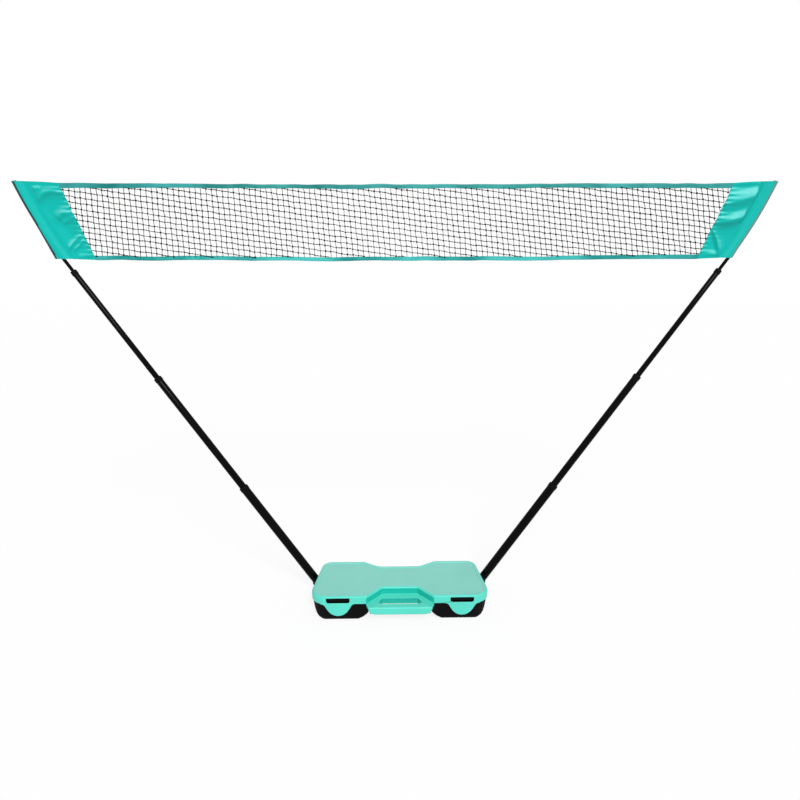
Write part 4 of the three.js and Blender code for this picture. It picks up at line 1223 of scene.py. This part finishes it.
class TapeShape:
    """Where the cloth of one tape lies: folded along the net's edge, rolled and rippled."""

    def __init__(self, net, fold, depth, seed):
        self.net = net
        self.fold = fold
        self.depth = depth
        self.seed = seed

    def half(self, down):
        """Half the tape's length at a share of the way down from its fold."""
        return self.net.half_width(self.fold + self.depth * down)

    def place(self, across, half, down, out):
        """A place on the tape, from how far across and down it is and how far it stands out."""
        rolled = noise.noise(Vector((across * ROLL_SCALE, self.seed, ROLL_LAYER)))
        kept = ROLLED_SHARE + (1 - ROLLED_SHARE) * (across / half) ** 2 + ROLL_SPREAD_SHARE * rolled
        height = self.fold + self.depth * kept * down
        held = min(1.0, (half - abs(across)) / TAPE_END_CALM)
        ride = 0.0
        for scale, layer, forth, up in TAPE_WAVES:
            wave = noise.noise(Vector((across * scale, self.seed, layer))) * held
            out += forth * wave
            ride += up * wave
        return across, self.net.plane + out, height - self.net.dip(across, height) + ride


class NETSET_OT_tapes(bpy.types.Operator):
    """Makes the folded tapes along the net's head and foot"""

    bl_idname = "netset.tapes"
    bl_label = "Tapes"

    def execute(self, context):
        settings = context.scene.net_set_net
        panel = context.scene.net_set_panel
        net = NetShape(settings)
        head = TapeShape(net, net.head, -settings.top_tape, seed=11)
        foot = TapeShape(net, net.foot, settings.bottom_tape, seed=23)
        tapes = (("head_tape", "top_tape", head, 1), ("foot_tape", "bottom_tape", foot, settings.foot_lift))
        for name, node, shape, lift in tapes:
            ribbon = woven_cloth(f"{name.replace('_', ' ').capitalize()} cloth", rgba(settings.tape, lift),
                                 rgba(settings.tape_light, lift), roughness=0.5, scale=7.0, contrast=3.5,
                                 Specular_IOR_Level=0.3)
            tape = self.tape(name, node, shape, settings)
            dress(tape, ribbon)
            paths = self.stitches(shape, settings, panel.stitch_pitch, panel.stitch_size)
            stitches = stitched(f"{name}_stitching", paths, panel.stitch_size, sides=4, body="net")
            dress(stitches, bpy.data.materials["Seam thread"])
            2 * shape.half(0)
            slackens(tape, shape.half(0))
            slackens(stitches, shape.half(0))
        return {"FINISHED"}

    def tape(self, name, node, shape, settings, columns=420, layer=5):
        """The folded cloth: up its front to the fold and down its back, or the other way round."""
        rows = [(step / layer, 1) for step in range(layer + 1)]
        rows = [(down, -1) for down, _ in reversed(rows)] + rows
        grid = np.zeros((len(rows), columns + 1, 3))
        for row, (down, towards) in enumerate(rows):
            half = shape.half(down) + settings.tape_lap
            gape = settings.cloth * TAPE_GAPE * min(1.0, down * TAPE_GAPE_RISE + TAPE_GAPE_LEAST)
            for column in range(columns + 1):
                across = half * (2 * column / columns - 1)
                grid[row, column] = shape.place(across, half, down, towards * gape)
        return cloth_piece(name, grid[:, ::-1], settings.cloth, "net", "turquoise_fabric", node)

    def stitches(self, shape, settings, pitch, size):
        """Paths of the stitches along a tape's free edge."""
        half = shape.half(1)
        for stitch in range(int(2 * half / pitch)):
            path = []
            for part, stand in zip(STITCH_SHARES, (0, 1, 0)):
                out = -settings.cloth * STITCH_STAND - size * stand
                across = (stitch + part) * pitch - half
                path.append(Vector(shape.place(across, half, STITCH_DOWN_SHARE, out)))
            yield path


# The netting's middle rides on the net, and the gores beside the panels go with the rods
NETTING_PARTS = {"net": "knotted_netting", "left_rod": "left_netting_gore", "right_rod": "right_netting_gore"}
NET_SEED = 7  # start of the random draws of the netting
THREAD_SIDES = 4  # sides of a thread of the netting
NET_LAP = 0.0015  # how far the netting reaches past its edge beside a panel
TAPED_SHARE = 0.75  # height of a tape that is clear of the netting
FLAT_SHARE = 0.6  # how far a thread strays out of the net's plane, against its straying in it
BOW_SHARE = 0.6  # how far a thread bows between its knots, against its knots' straying
LEAN_ROOM, ROW_ROOM = 3, 2  # columns and rows of knots beyond the net's edges, to be cut off there
UPRIGHT_SHARES = (0.0, 0.25, 0.5, 0.75, 1.0)  # places along an upright thread
LEVEL_SHARES = (0.0, 0.12, 0.25, 0.39, 0.5, 0.61, 0.75, 0.88, 1.0)  # places along a level thread
FULL_SHARE = 0.8  # radius between a level thread's slubs and its thin stretches, against a slub's
SLUB_SPREAD_SHARES = (0.75, 1.15)  # least and greatest slub
KNOT_SPREAD_SHARES = (0.8, 1.15)  # least and greatest knot
KNOT_SHARES = (1.1, 0.7, 0.85)  # a knot's half width, depth and height, against its size
KNOT_TURN = 0.4  # most that a knot is turned about the level thread, in radians


class NETSET_OT_netting(bpy.types.Operator):
    """Makes the knotted netting between the tapes and the panels"""

    bl_idname = "netset.netting"
    bl_label = "Netting"

    def execute(self, context):
        settings = context.scene.net_set_net
        self.settings = settings
        self.shape = NetShape(settings)
        self.low = self.shape.foot + settings.bottom_tape * TAPED_SHARE
        self.high = self.shape.head - settings.top_tape * TAPED_SHARE
        self.gore = self.shape.half_width(self.shape.foot) - settings.pitch_across
        self.draw = random.Random(NET_SEED)
        self.parts = {body: ([], []) for body in NETTING_PARTS}
        knots = self.knots()
        for (row, column), knot in knots.items():
            beside = knots.get((row, column + 1))
            above = knots.get((row + 1, column))
            if beside is not None:
                self.thread(knot, beside, True)
            if above is not None:
                self.thread(knot, above, False)
            if self.inside(knot):
                self.knot(knot)
        twine = twine_finish("Black twine", settings.twine, roughness=0.75)
        for body, name in NETTING_PARTS.items():
            nodes = ("net_mesh",) if body == "net" else ()
            part = mesh_piece(name, *self.parts[body], body, "net_twine", *nodes)
            dress(smoothed(part, TWINE_EDGE), twine)
            if body == "net":
                slackens(part, self.gore)
        return {"FINISHED"}

    def knots(self):
        """Places of the knots by row and column, strayed a little, well past the net's edges."""
        settings = self.settings
        reach = int(self.shape.head_half / settings.pitch_across) + 2 * LEAN_ROOM
        tall = int((self.high - self.low) / settings.pitch_up) + ROW_ROOM
        drop = reach * settings.pitch_across * math.tan(settings.row_slope)
        rows = int(drop / settings.pitch_up) + ROW_ROOM + tall
        knots = {}
        for row in range(-rows, rows + 1):
            for column in range(-reach - LEAN_ROOM, reach + LEAN_ROOM + 1):
                stray = self.stray(settings.wander)
                stray.y *= FLAT_SHARE
                knots[row, column] = self.place(row, column) + stray
        return knots

    def stray(self, size):
        """A small random step."""
        return Vector([self.draw.uniform(-1, 1) for _ in range(3)]) * size

    def part_at(self, place):
        """Points and faces of the netting's part at a place: its middle, or the gore beside a panel."""
        if abs(place.x) < self.gore:
            return self.parts["net"]
        return self.parts["left_rod" if place.x < 0 else "right_rod"]

    def place(self, row, column):
        """Where a knot would lie if no thread strayed."""
        settings = self.settings
        across = settings.pitch_across * column
        up = settings.pitch_up * row - across * math.tan(settings.row_slope)
        lean = settings.column_lean + settings.column_fan * across / self.shape.head_half
        middle = (self.low + self.high) / 2
        return Vector((across - up * math.tan(lean), self.shape.plane, middle + up))

    def inside(self, point):
        """Whether a point, before the net sags, lies between the tapes and the panels."""
        return self.low <= point.z <= self.high and abs(point.x) < self.shape.half_width(point.z) + NET_LAP

    def hung(self, point):
        """A point where the sag takes it."""
        return point - Vector((0, 0, self.shape.dip(point.x, point.z)))

    def crossing(self, inner, outer, halvings=12):
        """The last point inside the net on the way out of it."""
        for _ in range(halvings):
            half = (inner + outer) / 2
            if self.inside(half):
                inner = half
            else:
                outer = half
        return inner

    def thread(self, start, end, level):
        """A thread between two knots, as far as the net's edges, with slubs where it is level."""
        settings = self.settings
        if not self.inside(start) and not self.inside(end):
            return
        if not self.inside(start):
            start = self.crossing(end, start)
        if not self.inside(end):
            end = self.crossing(start, end)
        if (end - start).length < settings.knot:
            return
        bow = self.stray(settings.wander) * BOW_SHARE
        if level:
            shares = LEVEL_SHARES
            slub = settings.slub * self.draw.uniform(*SLUB_SPREAD_SHARES)
            half = [slub, slub * FULL_SHARE, settings.thin, slub * FULL_SHARE]
            radii = half + half + [slub]
        else:
            shares = UPRIGHT_SHARES
            radii = [settings.thread] * len(shares)
        path = [self.hung(start.lerp(end, part) + bow * math.sin(math.pi * part)) for part in shares]
        vertices, faces = self.part_at((start + end) / 2)
        more, sides = swept(path, radii, THREAD_SIDES, len(vertices))
        vertices += more
        faces += sides

    def knot(self, place, rings=4, sides=6):
        """A hitch: a small bead, longer across than up, turned a little."""
        size = self.settings.knot * self.draw.uniform(*KNOT_SPREAD_SHARES)
        wide, deep, tall = [size * part for part in KNOT_SHARES]
        vertices, faces = self.part_at(place)
        start = len(vertices)
        turn = self.draw.uniform(-KNOT_TURN, KNOT_TURN)
        for ring in range(1, rings):
            polar = math.pi * ring / rings
            for side in range(sides):
                around = 2 * math.pi * side / sides + turn
                vertices.append(self.hung(place) + Vector((
                    wide * math.cos(polar),
                    deep * math.sin(polar) * math.sin(around),
                    tall * math.sin(polar) * math.cos(around),
                )))
        faces += grid_faces(rings - 1, sides, wrap_columns=True, start=start)
        faces.append([start + side for side in reversed(range(sides))])
        last = start + (rings - 2) * sides
        faces.append([last + side for side in range(sides)])


# Add-on


OPERATORS = (
    NETSET_OT_stage,
    NETSET_OT_lid,
    NETSET_OT_base,
    NETSET_OT_fittings,
    NETSET_OT_poles,
    NETSET_OT_rods,
    NETSET_OT_panels,
    NETSET_OT_tapes,
    NETSET_OT_netting,
)
SETTINGS = {
    "net_set_stage": StageSettings,
    "net_set_case": CaseSettings,
    "net_set_pole": PoleSettings,
    "net_set_net": NetSettings,
    "net_set_panel": PanelSettings,
}


class NETSET_PT_pieces(bpy.types.Panel):
    """Lists the pieces of the net set"""

    bl_idname = "NETSET_PT_pieces"
    bl_label = "Net Set"
    bl_space_type = "VIEW_3D"
    bl_region_type = "UI"
    bl_category = "Net Set"

    def draw(self, context):
        for operator in OPERATORS:
            self.layout.operator(operator.bl_idname)


def register():
    for kind in (*SETTINGS.values(), *OPERATORS, NETSET_PT_pieces):
        bpy.utils.register_class(kind)
    for name, kind in SETTINGS.items():
        setattr(bpy.types.Scene, name, PointerProperty(type=kind))


def unregister():
    for name in SETTINGS:
        delattr(bpy.types.Scene, name)
    for kind in reversed((*SETTINGS.values(), *OPERATORS, NETSET_PT_pieces)):
        bpy.utils.unregister_class(kind)


def main():
    register()
    for operator in OPERATORS:
        group, name = operator.bl_idname.split(".")
        getattr(getattr(bpy.ops, group), name)()


if __name__ == "__main__":
    main()
